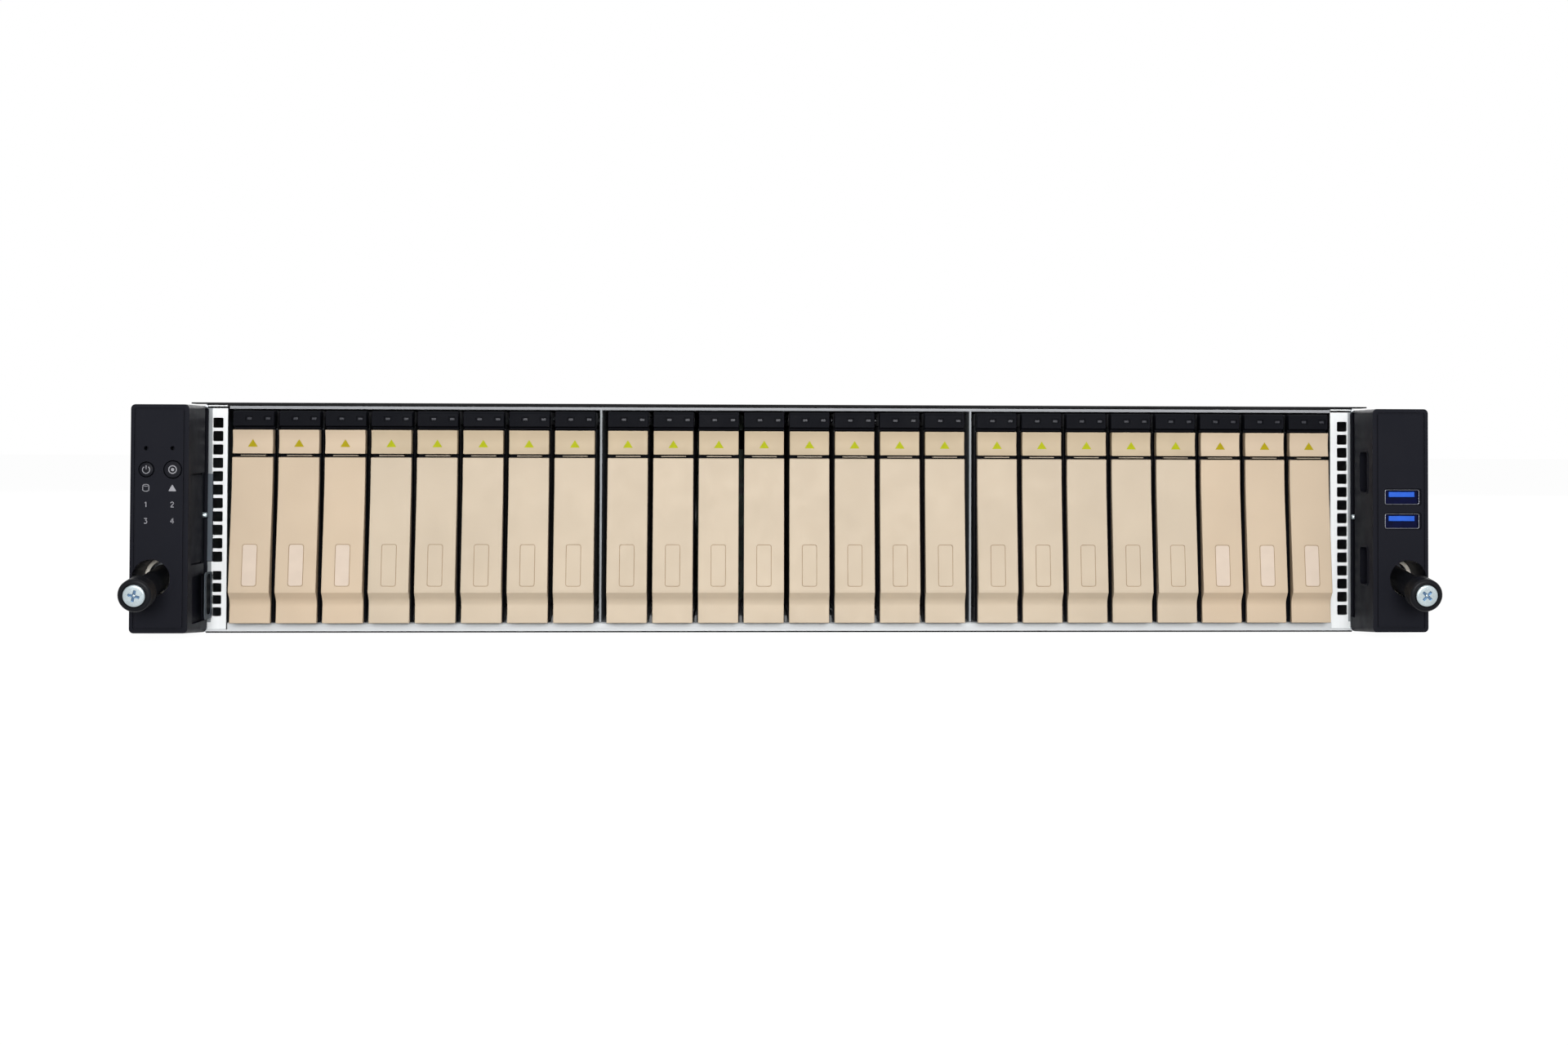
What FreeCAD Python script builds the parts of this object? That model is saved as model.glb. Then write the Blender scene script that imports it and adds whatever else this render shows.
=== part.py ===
"""Two-unit rackmount server chassis with upright hot-swap drive carriers.

Frame: X to the right seen from the front, Y to the rear, Z up, in millimetres.
The origin is at mid-width on the underside, in the plane where the ears meet the rack.
"""
import FreeCAD, Part
import math
import os

os.makedirs("parts", exist_ok=True)
Vector = FreeCAD.Vector

# Sheet metal
SHEET = 1.2
COVER_SHEET = 1.0
GUIDE_SHEET = 1.0
BEND_RADIUS = 1.8
FRONT_LIP = 1.5

# Drive bays
BANKS = 3
BAYS_PER_BANK = 8
BAY_PITCH = 17.2
BANK_GAP = 2.8
DIVIDER_SHEET = 0.9
RUN_GAP = 0.3
HEAD_ROOM = 1.15
GUIDE_HEIGHT = 2.7
GUIDE_RIB = 1.0
GUIDE_RIB_RISE = 2.2
GUIDE_POINT = 3.0

# Perforated strips beside the bays
STRIP_GAP = 1.7
STRIP_WIDTH = 7.9
STRIP_HOLE = 3.5
STRIP_HOLE_PITCH = 5.07
STRIP_HOLES = 15
STRIP_TOP_MARGIN = 6.7
SMALL_HOLES = 4
SMALL_HOLE = 3.0
SMALL_HOLE_PITCH = 4.56
SMALL_HOLE_GAP = 7.1

# Drive and its tray
DRIVE_LENGTH = 100.2
DRIVE_HEIGHT = 69.85
DRIVE_THICKNESS = 14.6
TRAY_RAIL = 4.9
TRAY_POST = 2.5
TRAY_TAIL = 2.0

# Carrier front
CARRIER_WIDTH = 15.2
FACE_PROUD = 8.0
BEZEL_THICKNESS = 3.0
HEAD_HEIGHT = 6.85
HEAD_SETBACK = 1.4
HEAD_CHAMFER = 0.8
SEAM = 0.3
BUTTON_HEIGHT = 9.0
BUTTON_WIDTH = 15.0
BUTTON_DISH = 0.7
LATCH_GAP = 1.3

# Ejector lever
LEVER_WALL = 2.4
LEVER_FLAT = 9.4
RIDGE_RISE = 11.6
RIDGE_PROUD = 5.3
RIDGE_LAND = 0.9
COVE_DEPTH = 3.3
COVE_RISE = 8.2
COVE_RADIUS = 4.0
FOOT_PROUD = 2.9
FOOT_WALL = 2.6
PIVOT_RISE = 5.4
PIVOT_RADIUS = 1.8
PIVOT_WRAP = 52.0
KNUCKLE_WIDTH = 7.0
KNUCKLE_ROOM = 0.15
LUG_THICKNESS = 2.4
LUG_FRONT = 1.5
LUG_HALF = 2.4

# Ears
EAR_WIDTH = 21.0
EAR_OVERLAP = 0.3
EAR_PROUD = 31.6
EAR_BOTTOM = 2.2
EAR_HEEL = 0.2
EAR_TOP_DROP = 1.4
EAR_CORNER = 1.6
RIM_INSET = 1.3
RIM_GROOVE = 0.7
RIM_DEPTH = 0.6
EAR_COLUMN = 4.75
EAR_BUTTON_Z = 61.8
POWER_RADIUS = 2.6
IDENTIFY_RADIUS = 3.1
EAR_BUTTON_GAP = 0.3
EAR_BUTTON_DEPTH = 5.0
EAR_BUTTON_TRAVEL = 1.0
EAR_BUTTON_PROUD = 0.3
PANEL_INSET = 0.6
PANEL_Z = (27.0, 60.0)
PANEL_MARGIN = 5.0
EAR_SLOT_FRONT = 6.6
EAR_SLOT_WIDTH = 10.0
EAR_SLOT_DEPTH = 2.0
EAR_SLOTS_Z = ((19.5, 33.5), (54.3, 69.5))

# Data sockets in the right ear
SOCKET_WIDTH = 13.1
SOCKET_HEIGHT = 5.7
SOCKET_WALL = 0.3
SOCKET_DEPTH = 14.0
SOCKET_PITCH = 9.0
SOCKET_Z = 43.65
SOCKET_ROOM = 0.1
SOCKET_SETBACK = 1.0
SOCKET_FLARE = 0.45
TONGUE_HEIGHT = 1.4
TONGUE_SIDE = 1.35
TONGUE_TOP = 0.6
TONGUE_SETBACK = 0.6

# Captive thumbscrews
SCREW_INSET = 7.6
SCREW_Z = 22.1
RECESS_RADIUS = 6.9
KNOB_RADIUS = 6.0
KNOB_FLATS = 20
KNOB_LENGTH = 8.0
KNOB_REACH = 22.3
NECK_RADIUS = 4.3
NECK_INSET = 1.0
SCREW_DROOP = 6.6
SCREW_RADIUS = 2.0
SCREW_SHANK = 23.5
SCREW_HEAD_RADIUS = 4.0
SCREW_HEAD_HEIGHT = 0.8
RACK_HOLE_RADIUS = 3.5

# Backplane, fans and mainboard
CONNECTOR_GAP = 0.5
CONNECTOR_DEPTH = 8.0
CONNECTOR_HEIGHT = 40.0
CONNECTOR_WIDTH = 8.0
BOARD_SHEET = 1.6
BACKPLANE_SHEET = 2.4
BACKPLANE_SIDE = 4.0
FAN_SPACE = 45.0
FANS = 4
FAN_DEPTH = 40.0
FAN_GAP = 4.0
FAN_HEAD_ROOM = 6.0
FAN_BORE_MARGIN = 4.0
FAN_BORE_DEPTH = 6.0
BOARD_SPACE = 12.0
BOARD_LENGTH = 492.0
BOARD_SIDE = 6.0
BOARD_REAR_GAP = 6.0
STANDOFF_HEIGHT = 6.0
STANDOFF_WIDTH = 6.0
SINK_WIDTH = 90.0
SINK_LENGTH = 110.0
SINK_HEIGHT = 58.0
SINK_BASE = 6.0
SINK_FINS = 11
SINK_FIN = 1.2
SINK_START = 62.0
MEMORY_PER_SIDE = 4
MEMORY_PITCH = 9.0
MEMORY_LENGTH = 133.0
MEMORY_HEIGHT = 31.0
MEMORY_THICKNESS = 3.2
MEMORY_CLEAR = 7.0

# Power supplies
PSU_WIDTH = 78.0
PSU_LENGTH = 190.0
PSU_GAP = 0.4
PSU_STOP = 8.0
HANDLE_REACH = 24.0
HANDLE_WIDTH = 10.0
HANDLE_THICKNESS = 3.0
HANDLE_MARGIN = 4.0
INLET_WIDTH = 27.0
INLET_HEIGHT = 20.0
INLET_DEPTH = 16.0
PSU_FACE_MARGIN = 5.0
INLET_CHAMFER = 5.0
PSU_FAN_RADIUS = 14.0
PSU_FAN_DEPTH = 5.0

# Rear panel
CARD_SLOTS = 3
CARD_SLOT_PITCH = 20.3
CARD_SLOT_HEIGHT = 13.0
CARD_SLOT_WIDTH = 105.0
CARD_SLOT_Z = 20.0
CARD_SLOT_SIDE = 12.0
SLOT_COVER_LAP = 2.5
SLOT_COVER_SHEET = 0.8
VENTS = 10
VENT_WIDTH = 5.0
VENT_PITCH = 9.0
VENT_HEIGHT = 46.0
VENT_Z = 26.0

# Slide rail studs on the side walls
STUD_RADIUS = 3.0
STUD_HEIGHT = 3.0
STUD_Z = 44.0
STUD_FIRST = 60.0
STUD_PITCH = 560.0
STUDS = 2

# Widths that follow from the bays
bank_width = BAYS_PER_BANK * BAY_PITCH
bays_half = (BANKS * bank_width + (BANKS - 1) * BANK_GAP) / 2
strip_inner = bays_half + STRIP_GAP
wall_inner = strip_inner + STRIP_WIDTH
wall_outer = wall_inner + SHEET
ear_inner = wall_inner - EAR_OVERLAP
ear_outer = ear_inner + EAR_WIDTH
ear_mid = (ear_inner + ear_outer) / 2
screw_x = ear_outer - SCREW_INSET

# Heights that follow from the drive
guide_top = SHEET + GUIDE_HEIGHT
carrier_bottom = guide_top + RUN_GAP
drive_bottom = carrier_bottom + TRAY_RAIL
drive_top = drive_bottom + DRIVE_HEIGHT
carrier_top = drive_top + TRAY_RAIL
top_guide_bottom = carrier_top + HEAD_ROOM
wall_top = top_guide_bottom + GUIDE_SHEET
height = wall_top + COVER_SHEET
ear_top = height - EAR_TOP_DROP

# Levels on the carrier's front
head_bottom = carrier_top - HEAD_HEIGHT
button_top = head_bottom - SEAM
button_bottom = button_top - BUTTON_HEIGHT
lever_top = button_bottom - LATCH_GAP
pivot_z = carrier_bottom + PIVOT_RISE
pivot_y = -BEZEL_THICKNESS - PIVOT_RADIUS - RUN_GAP

# Depths from front to rear
drive_rear = TRAY_POST + DRIVE_LENGTH
connector_front = drive_rear + CONNECTOR_GAP
backplane_front = connector_front + CONNECTOR_DEPTH
backplane_rear = backplane_front + BACKPLANE_SHEET
fan_front = backplane_rear + FAN_SPACE
fan_rear = fan_front + FAN_DEPTH
board_front = fan_rear + BOARD_SPACE
board_rear = board_front + BOARD_LENGTH
rear_inner = board_rear + BOARD_REAR_GAP
depth = rear_inner + SHEET
psu_front = depth - PSU_LENGTH
partition_x = wall_inner - PSU_WIDTH - 2 * PSU_GAP
shelf_z = (SHEET + wall_top) / 2


def box(x, y, z):
    """Block between a low and a high value on each axis."""
    return Part.makeBox(x[1] - x[0], y[1] - y[0], z[1] - z[0], Vector(x[0], y[0], z[0]))


def mirrored(shape):
    """The same shape on the other side of the chassis."""
    return shape.mirror(Vector(0, 0, 0), Vector(1, 0, 0))


def prism(edges, x):
    """Solid between two X values, from the edges of an outline drawn at the first of them."""
    return Part.Face(Part.Wire(edges)).extrude(Vector(x[1] - x[0], 0, 0))


def outline(points, x):
    """Straight edges through (y, z) points at one X value, back to the first point."""
    corners = [Vector(x, y, z) for y, z in points]
    return Part.makePolygon(corners + corners[:1]).Edges


def arc(start, middle, end, x):
    """Arc edge through three (y, z) points at one X value."""
    return Part.Arc(*[Vector(x, y, z) for y, z in (start, middle, end)]).toShape()


def line(start, end, x):
    """Straight edge between two (y, z) points at one X value."""
    return Part.LineSegment(Vector(x, *start), Vector(x, *end)).toShape()


def rounded_corner(before, corner, after, radius):
    """Start, middle and end of the arc that rounds a (y, z) corner between two points."""
    corner = Vector(0, *corner)
    first = (Vector(0, *before) - corner).normalize()
    second = (Vector(0, *after) - corner).normalize()
    bisector = (first + second).normalize()
    half_angle = first.getAngle(second) / 2
    run = radius / math.tan(half_angle)
    middle = corner + bisector * (radius / math.sin(half_angle) - radius)
    return [(point.y, point.z) for point in (corner + first * run, middle, corner + second * run)]


def turned(profile, origin, direction):
    """Solid of revolution from (distance along, radius) points about an axis."""
    points = [Vector(along, radius, 0) for along, radius in profile]
    face = Part.Face(Part.makePolygon(points + points[:1]))
    solid = face.revolve(Vector(0, 0, 0), Vector(1, 0, 0), 360)
    solid.Placement = FreeCAD.Placement(origin, FreeCAD.Rotation(Vector(1, 0, 0), direction))
    return solid


def save(name, *solids):
    """Write the solids of one node."""
    shape = solids[0] if len(solids) == 1 else Part.makeCompound(list(solids))
    shape.exportStep(os.path.join("parts", name + ".step"))


def bank_edges():
    """Left edge of each bank of bays."""
    return [-bays_half + bank * (bank_width + BANK_GAP) for bank in range(BANKS)]


def bay_centres():
    """Mid-width of each bay, from left to right."""
    return [left + (bay + 0.5) * BAY_PITCH for left in bank_edges() for bay in range(BAYS_PER_BANK)]


def folded_tub():
    """Floor and side walls, bent from one sheet."""
    tub = box((-wall_outer, wall_outer), (-FRONT_LIP, depth), (0, SHEET))
    for side in (-1, 1):
        wall_x = sorted((side * wall_inner, side * wall_outer))
        tub = tub.fuse(box(wall_x, (-FRONT_LIP, depth), (0, wall_top)))
    tub = tub.removeSplitter()
    corners = [
        edge for edge in tub.Edges
        if edge.BoundBox.YLength > depth / 2 and edge.BoundBox.ZMax < SHEET / 2
    ]
    return tub.makeFillet(BEND_RADIUS, corners)


def rack_flange(side):
    """Flange welded to a side wall behind its ear, with the hole of the thumbscrew."""
    flange_x = sorted((side * wall_outer, side * ear_outer))
    flange = box(flange_x, (-FRONT_LIP, 0), (EAR_HEEL, ear_top))
    foot = Vector(side * screw_x, -FRONT_LIP, SCREW_Z)
    return flange.cut(Part.makeCylinder(RACK_HOLE_RADIUS, FRONT_LIP, foot, Vector(0, 1, 0)))


def rail_studs(side):
    """Studs riveted to a side wall, which hang the chassis on its slide rail."""
    feet = [Vector(side * wall_outer, STUD_FIRST + stud * STUD_PITCH, STUD_Z) for stud in range(STUDS)]
    return [Part.makeCylinder(STUD_RADIUS, STUD_HEIGHT, foot, Vector(side, 0, 0)) for foot in feet]


def wall_fittings():
    """Flanges and rail studs on both side walls."""
    pieces = []
    for side in (-1, 1):
        pieces += [rack_flange(side)] + rail_studs(side)
    return pieces


def strip_holes(side):
    """Heights and widths of one strip's holes: the left strip ends in a set of smaller ones."""
    top = wall_top - STRIP_TOP_MARGIN
    rows = STRIP_HOLES if side > 0 else STRIP_HOLES - SMALL_HOLES
    holes = [(top - row * STRIP_HOLE_PITCH, STRIP_HOLE) for row in range(rows)]
    if side < 0:
        first = holes[-1][0] - SMALL_HOLE_GAP
        holes += [(first - row * SMALL_HOLE_PITCH, SMALL_HOLE) for row in range(SMALL_HOLES)]
    return holes


def perforated_strip(side):
    """Strip beside the bays with its column of square holes."""
    strip = box(sorted((side * strip_inner, side * wall_inner)), (0, SHEET), (SHEET, wall_top))
    mid = side * (strip_inner + wall_inner) / 2
    for z, width in strip_holes(side):
        hole_x = (mid - width / 2, mid + width / 2)
        strip = strip.cut(box(hole_x, (0, SHEET), (z - width / 2, z + width / 2)))
    return strip


def bottom_guide():
    """Plate under the carriers, with a pointed rib between each pair of bays."""
    guide = box((-strip_inner, strip_inner), (-FRONT_LIP, backplane_front), (SHEET, guide_top))
    rib_side = [
        (0, guide_top),
        (GUIDE_POINT, guide_top + GUIDE_RIB_RISE),
        (drive_rear, guide_top + GUIDE_RIB_RISE),
        (drive_rear, guide_top),
    ]
    for left in bank_edges():
        for bay in range(1, BAYS_PER_BANK):
            x = left + bay * BAY_PITCH
            low = x - GUIDE_RIB / 2
            guide = guide.fuse(prism(outline(rib_side, low), (low, low + GUIDE_RIB)))
    return guide.removeSplitter()


def drive_cage():
    """Strips, guides and dividers that are riveted into the tub."""
    top_guide = box((-strip_inner, strip_inner), (0, backplane_front), (top_guide_bottom, wall_top))
    pieces = [perforated_strip(-1), perforated_strip(1), top_guide, bottom_guide()]
    for left in bank_edges()[1:]:
        x = left - BANK_GAP / 2
        divider_x = (x - DIVIDER_SHEET / 2, x + DIVIDER_SHEET / 2)
        pieces.append(box(divider_x, (0, backplane_front), (guide_top, top_guide_bottom)))
    return pieces


def rear_panel():
    """Rear wall with two stacks of card slot covers and a row of vents between them."""
    panel = box((-wall_inner, partition_x), (rear_inner, depth), (SHEET, wall_top))
    stack_left = -wall_inner + CARD_SLOT_SIDE
    stack_right = partition_x - CARD_SLOT_SIDE - CARD_SLOT_WIDTH
    covers = []
    for left in (stack_left, stack_right):
        for slot in range(CARD_SLOTS):
            low = CARD_SLOT_Z + slot * CARD_SLOT_PITCH
            x = (left, left + CARD_SLOT_WIDTH)
            covers.append(
                box(
                    (x[0] - SLOT_COVER_LAP, x[1] + SLOT_COVER_LAP),
                    (depth, depth + SLOT_COVER_SHEET),
                    (low - SLOT_COVER_LAP, low + CARD_SLOT_HEIGHT + SLOT_COVER_LAP),
                )
            )
    vent_mid = (stack_left + CARD_SLOT_WIDTH + stack_right) / 2
    for vent in range(VENTS):
        x = vent_mid + (vent - (VENTS - 1) / 2) * VENT_PITCH
        vent_x = (x - VENT_WIDTH / 2, x + VENT_WIDTH / 2)
        panel = panel.cut(box(vent_x, (rear_inner, depth), (VENT_Z, VENT_Z + VENT_HEIGHT)))
    return [panel] + covers


def power_bay():
    """Partition and shelf that make the two power supply bays."""
    bay_y = (psu_front - PSU_STOP, depth)
    partition = box((partition_x, partition_x + SHEET), bay_y, (SHEET, wall_top))
    shelf_y = (psu_front, depth)
    shelf = box((partition_x + SHEET, wall_inner), shelf_y, (shelf_z - SHEET / 2, shelf_z + SHEET / 2))
    return [partition, shelf]


def top_cover():
    """Lid, and two lips welded under it that locate it between the side walls."""
    pieces = [box((-wall_outer, wall_outer), (0, depth), (wall_top, height))]
    lip_z = (wall_top - 4 * SHEET, wall_top)
    lip_y = (backplane_rear + SHEET, psu_front - PSU_STOP - SHEET)
    for side in (-1, 1):
        lip_x = sorted((side * (wall_inner - RUN_GAP), side * (wall_inner - RUN_GAP - COVER_SHEET)))
        pieces.append(box(lip_x, lip_y, lip_z))
    return pieces


def bezel():
    """Black front of a carrier about X = 0: plate, head and the lugs beside the lever's knuckle."""
    half = CARRIER_WIDTH / 2
    head_front = -FACE_PROUD + HEAD_SETBACK
    side = [
        (0, carrier_bottom),
        (0, carrier_top),
        (head_front + HEAD_CHAMFER, carrier_top),
        (head_front, carrier_top - HEAD_CHAMFER),
        (head_front, head_bottom),
        (-BEZEL_THICKNESS, head_bottom),
        (-BEZEL_THICKNESS, carrier_bottom),
    ]
    plate = prism(outline(side, -half), (-half, half))
    low = KNUCKLE_WIDTH / 2 + KNUCKLE_ROOM
    lug = box(
        (low, low + LUG_THICKNESS),
        (pivot_y - LUG_FRONT, -BEZEL_THICKNESS),
        (pivot_z - LUG_HALF, pivot_z + LUG_HALF),
    )
    return plate.fuse([lug, mirrored(lug)]).removeSplitter()


def release_button():
    """Dished gold button that holds the lever's top edge."""
    half = BUTTON_WIDTH / 2
    front = -FACE_PROUD
    back = -BEZEL_THICKNESS
    middle = (button_top + button_bottom) / 2
    edges = [
        arc((front, button_bottom), (front + BUTTON_DISH, middle), (front, button_top), -half),
        line((front, button_top), (back, button_top), -half),
        line((back, button_top), (back, button_bottom), -half),
        line((back, button_bottom), (front, button_bottom), -half),
    ]
    return prism(edges, (-half, half))


def tray():
    """Metal frame that holds the drive above and below."""
    half = CARRIER_WIDTH / 2
    tail = drive_rear + TRAY_TAIL
    side = [
        (0, carrier_bottom),
        (tail, carrier_bottom),
        (tail, drive_bottom),
        (TRAY_POST, drive_bottom),
        (TRAY_POST, drive_top),
        (tail, drive_top),
        (tail, carrier_top),
        (0, carrier_top),
    ]
    return prism(outline(side, -half), (-half, half))


def drive():
    """Small-form drive between the tray's rails."""
    half = DRIVE_THICKNESS / 2
    return box((-half, half), (TRAY_POST, drive_rear), (drive_bottom, drive_top))


def lever():
    """Gold ejector lever: flat top, face that leans out to a ridge, cove, foot and knuckle."""
    half = CARRIER_WIDTH / 2
    face = -FACE_PROUD
    ridge_z = carrier_bottom + RIDGE_RISE
    ridge_y = face - RIDGE_PROUD
    foot_y = face - FOOT_PROUD
    foot_back = foot_y + FOOT_WALL
    bend_z = lever_top - LEVER_FLAT
    throat = (ridge_y + COVE_DEPTH, carrier_bottom + COVE_RISE)
    cove = rounded_corner((ridge_y, ridge_z), throat, (foot_y, carrier_bottom), COVE_RADIUS)
    corners = [
        cove[2],
        (foot_y, carrier_bottom),
        (foot_back, carrier_bottom),
        (foot_back, ridge_z),
        (face + LEVER_WALL, bend_z),
        (face + LEVER_WALL, lever_top),
        (face, lever_top),
        (face, bend_z),
        (ridge_y, ridge_z + RIDGE_LAND),
        (ridge_y, ridge_z),
        cove[0],
    ]
    edges = [line(corners[i], corners[i + 1], -half) for i in range(len(corners) - 1)]
    plate = prism(edges + [arc(*cove, -half)], (-half, half))
    knuckle_half = KNUCKLE_WIDTH / 2
    wrap = math.radians(PIVOT_WRAP)
    back = pivot_y + PIVOT_RADIUS * math.cos(wrap)
    over = pivot_z + PIVOT_RADIUS * math.sin(wrap)
    under = pivot_z - PIVOT_RADIUS * math.sin(wrap)
    knuckle = prism(
        [
            line((back, over), (foot_back, over), -knuckle_half),
            line((foot_back, over), (foot_back, under), -knuckle_half),
            line((foot_back, under), (back, under), -knuckle_half),
            arc((back, under), (pivot_y + PIVOT_RADIUS, pivot_z), (back, over), -knuckle_half),
        ],
        (-knuckle_half, knuckle_half),
    )
    return plate.fuse(knuckle).removeSplitter()


def ear_shell():
    """Right-hand ear: rounded block on a falling foot, with a rim groove and the screw recess."""
    profile = [
        (-EAR_PROUD, EAR_BOTTOM),
        (-FRONT_LIP, EAR_HEEL),
        (-FRONT_LIP, ear_top),
        (-EAR_PROUD, ear_top),
    ]
    shell = prism(outline(profile, ear_inner), (ear_inner, ear_outer))
    along = [edge for edge in shell.Edges if abs(edge.tangentAt(edge.FirstParameter).y) > 0.5]
    shell = shell.makeFillet(EAR_CORNER, along)
    groove_y = (-EAR_PROUD, -EAR_PROUD + RIM_DEPTH)
    rims = []
    for inset in (RIM_INSET, RIM_INSET + RIM_GROOVE):
        rims.append(
            box((ear_inner + inset, ear_outer - inset), groove_y, (EAR_BOTTOM + inset, ear_top - inset))
        )
    mouth = Vector(screw_x, -EAR_PROUD, SCREW_Z)
    recess = Part.makeCylinder(RECESS_RADIUS, EAR_PROUD - FRONT_LIP, mouth, Vector(0, 1, 0))
    return shell.cut([rims[0].cut(rims[1]), recess])


def ear_button_seat(side, column, radius):
    """Bore in an ear for one round button."""
    mouth = Vector(side * ear_mid + column, -EAR_PROUD, EAR_BUTTON_Z)
    seat_depth = EAR_BUTTON_DEPTH - EAR_BUTTON_PROUD + EAR_BUTTON_TRAVEL + EAR_BUTTON_GAP
    return Part.makeCylinder(radius + EAR_BUTTON_GAP, seat_depth, mouth, Vector(0, 1, 0))


def ear_button(side, column, radius):
    """Round button standing a little out of an ear."""
    front = Vector(side * ear_mid + column, -EAR_PROUD - EAR_BUTTON_PROUD, EAR_BUTTON_Z)
    return Part.makeCylinder(radius, EAR_BUTTON_DEPTH, front, Vector(0, 1, 0))


def left_ear():
    """Ear with the seats of its two buttons and an inset inner panel."""
    power_seat = ear_button_seat(-1, -EAR_COLUMN, POWER_RADIUS)
    identify_seat = ear_button_seat(-1, EAR_COLUMN, IDENTIFY_RADIUS)
    panel = box(
        (-ear_inner - PANEL_INSET, -ear_inner),
        (-EAR_PROUD + PANEL_MARGIN, -FRONT_LIP - PANEL_MARGIN),
        PANEL_Z,
    )
    return mirrored(ear_shell()).cut([power_seat, identify_seat, panel])


def right_ear():
    """Ear with two inner slots and two stacked data sockets, each a steel shell round a tongue."""
    slot_front = -EAR_PROUD + EAR_SLOT_FRONT
    slots = [
        box((ear_inner, ear_inner + EAR_SLOT_DEPTH), (slot_front, slot_front + EAR_SLOT_WIDTH), z)
        for z in EAR_SLOTS_Z
    ]
    shell = ear_shell().cut(slots)
    pieces = []
    front = -EAR_PROUD + SOCKET_SETBACK
    back = -EAR_PROUD + SOCKET_DEPTH
    for row in range(2):
        z = SOCKET_Z + row * SOCKET_PITCH
        half_x = SOCKET_WIDTH / 2
        half_z = SOCKET_HEIGHT / 2

        def sleeve(grow, y):
            """Block of the socket's section, grown all round, between two Y values."""
            return box(
                (ear_mid - half_x - grow, ear_mid + half_x + grow),
                y,
                (z - half_z - grow, z + half_z + grow),
            )

        shell = shell.cut([sleeve(SOCKET_FLARE, (-EAR_PROUD, front)), sleeve(SOCKET_ROOM, (front, back))])
        steel = sleeve(0, (front, back)).cut(sleeve(-SOCKET_WALL, (front, back - SOCKET_WALL)))
        tongue_top = z + half_z - SOCKET_WALL - TONGUE_TOP
        tongue_half = half_x - SOCKET_WALL - TONGUE_SIDE
        tongue = box(
            (ear_mid - tongue_half, ear_mid + tongue_half),
            (front + TONGUE_SETBACK, back - SOCKET_WALL),
            (tongue_top - TONGUE_HEIGHT, tongue_top),
        )
        pieces += [steel, tongue]
    return [shell] + pieces


def thumbscrew(side):
    """Captive screw whose neck droops onto the lip of its recess, with a many-sided knob round its head."""
    droop = math.radians(SCREW_DROOP)
    lip = SCREW_Z - RECESS_RADIUS + RUN_GAP
    mouth = Vector(side * screw_x, -EAR_PROUD, lip + NECK_RADIUS / math.cos(droop))
    outwards = Vector(0, -math.cos(droop), -math.sin(droop))
    tip = KNOB_REACH + SCREW_HEAD_HEIGHT
    knob_back = KNOB_REACH - KNOB_LENGTH
    profile = [
        (-SCREW_SHANK, 0),
        (tip, 0),
        (tip, SCREW_HEAD_RADIUS),
        (knob_back, SCREW_HEAD_RADIUS),
        (knob_back, NECK_RADIUS),
        (-NECK_INSET, NECK_RADIUS),
        (-NECK_INSET, SCREW_RADIUS),
        (-SCREW_SHANK, SCREW_RADIUS),
    ]
    screw = turned(profile, mouth, outwards)
    turns = [2 * math.pi * flat / KNOB_FLATS for flat in range(KNOB_FLATS)]
    rim = [(KNOB_RADIUS * math.cos(turn), KNOB_RADIUS * math.sin(turn)) for turn in turns]
    knob = prism(outline(rim, knob_back), (knob_back, KNOB_REACH))
    knob.Placement = screw.Placement
    return screw.fuse(knob).removeSplitter()


def backplane():
    """Upright board behind the drives with one connector for each bay."""
    half = wall_inner - BACKPLANE_SIDE
    board = box((-half, half), (backplane_front, backplane_rear), (SHEET, wall_top - HEAD_ROOM))
    middle = (drive_bottom + drive_top) / 2
    connectors = [
        box(
            (x - CONNECTOR_WIDTH / 2, x + CONNECTOR_WIDTH / 2),
            (connector_front, backplane_front),
            (middle - CONNECTOR_HEIGHT / 2, middle + CONNECTOR_HEIGHT / 2),
        )
        for x in bay_centres()
    ]
    return [board] + connectors


def fan_cartridge(left, width):
    """One fan cartridge: square body with a round mouth."""
    top = wall_top - FAN_HEAD_ROOM
    body = box((left, left + width), (fan_front, fan_rear), (SHEET, top))
    mid_x = left + width / 2
    mid_z = (SHEET + top) / 2
    radius = min(width, top - SHEET) / 2 - FAN_BORE_MARGIN
    mouth = Part.makeCylinder(radius, FAN_BORE_DEPTH, Vector(mid_x, fan_front, mid_z), Vector(0, 1, 0))
    return body.cut(mouth)


def fan_wall():
    """Row of fan cartridges across the chassis."""
    pitch = 2 * (wall_inner - FAN_GAP) / FANS
    start = -wall_inner + FAN_GAP
    return [fan_cartridge(start + fan * pitch + FAN_GAP / 2, pitch - FAN_GAP) for fan in range(FANS)]


def heat_sink(x, y, z):
    """Finned block on one processor, from its mid-width, front and foot."""
    sink = box((x - SINK_WIDTH / 2, x + SINK_WIDTH / 2), (y, y + SINK_LENGTH), (z, z + SINK_BASE))
    pitch = (SINK_WIDTH - SINK_FIN) / (SINK_FINS - 1)
    for fin in range(SINK_FINS):
        left = x - SINK_WIDTH / 2 + fin * pitch
        fin_z = (z + SINK_BASE, z + SINK_HEIGHT)
        sink = sink.fuse(box((left, left + SINK_FIN), (y, y + SINK_LENGTH), fin_z))
    return sink.removeSplitter()


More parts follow.
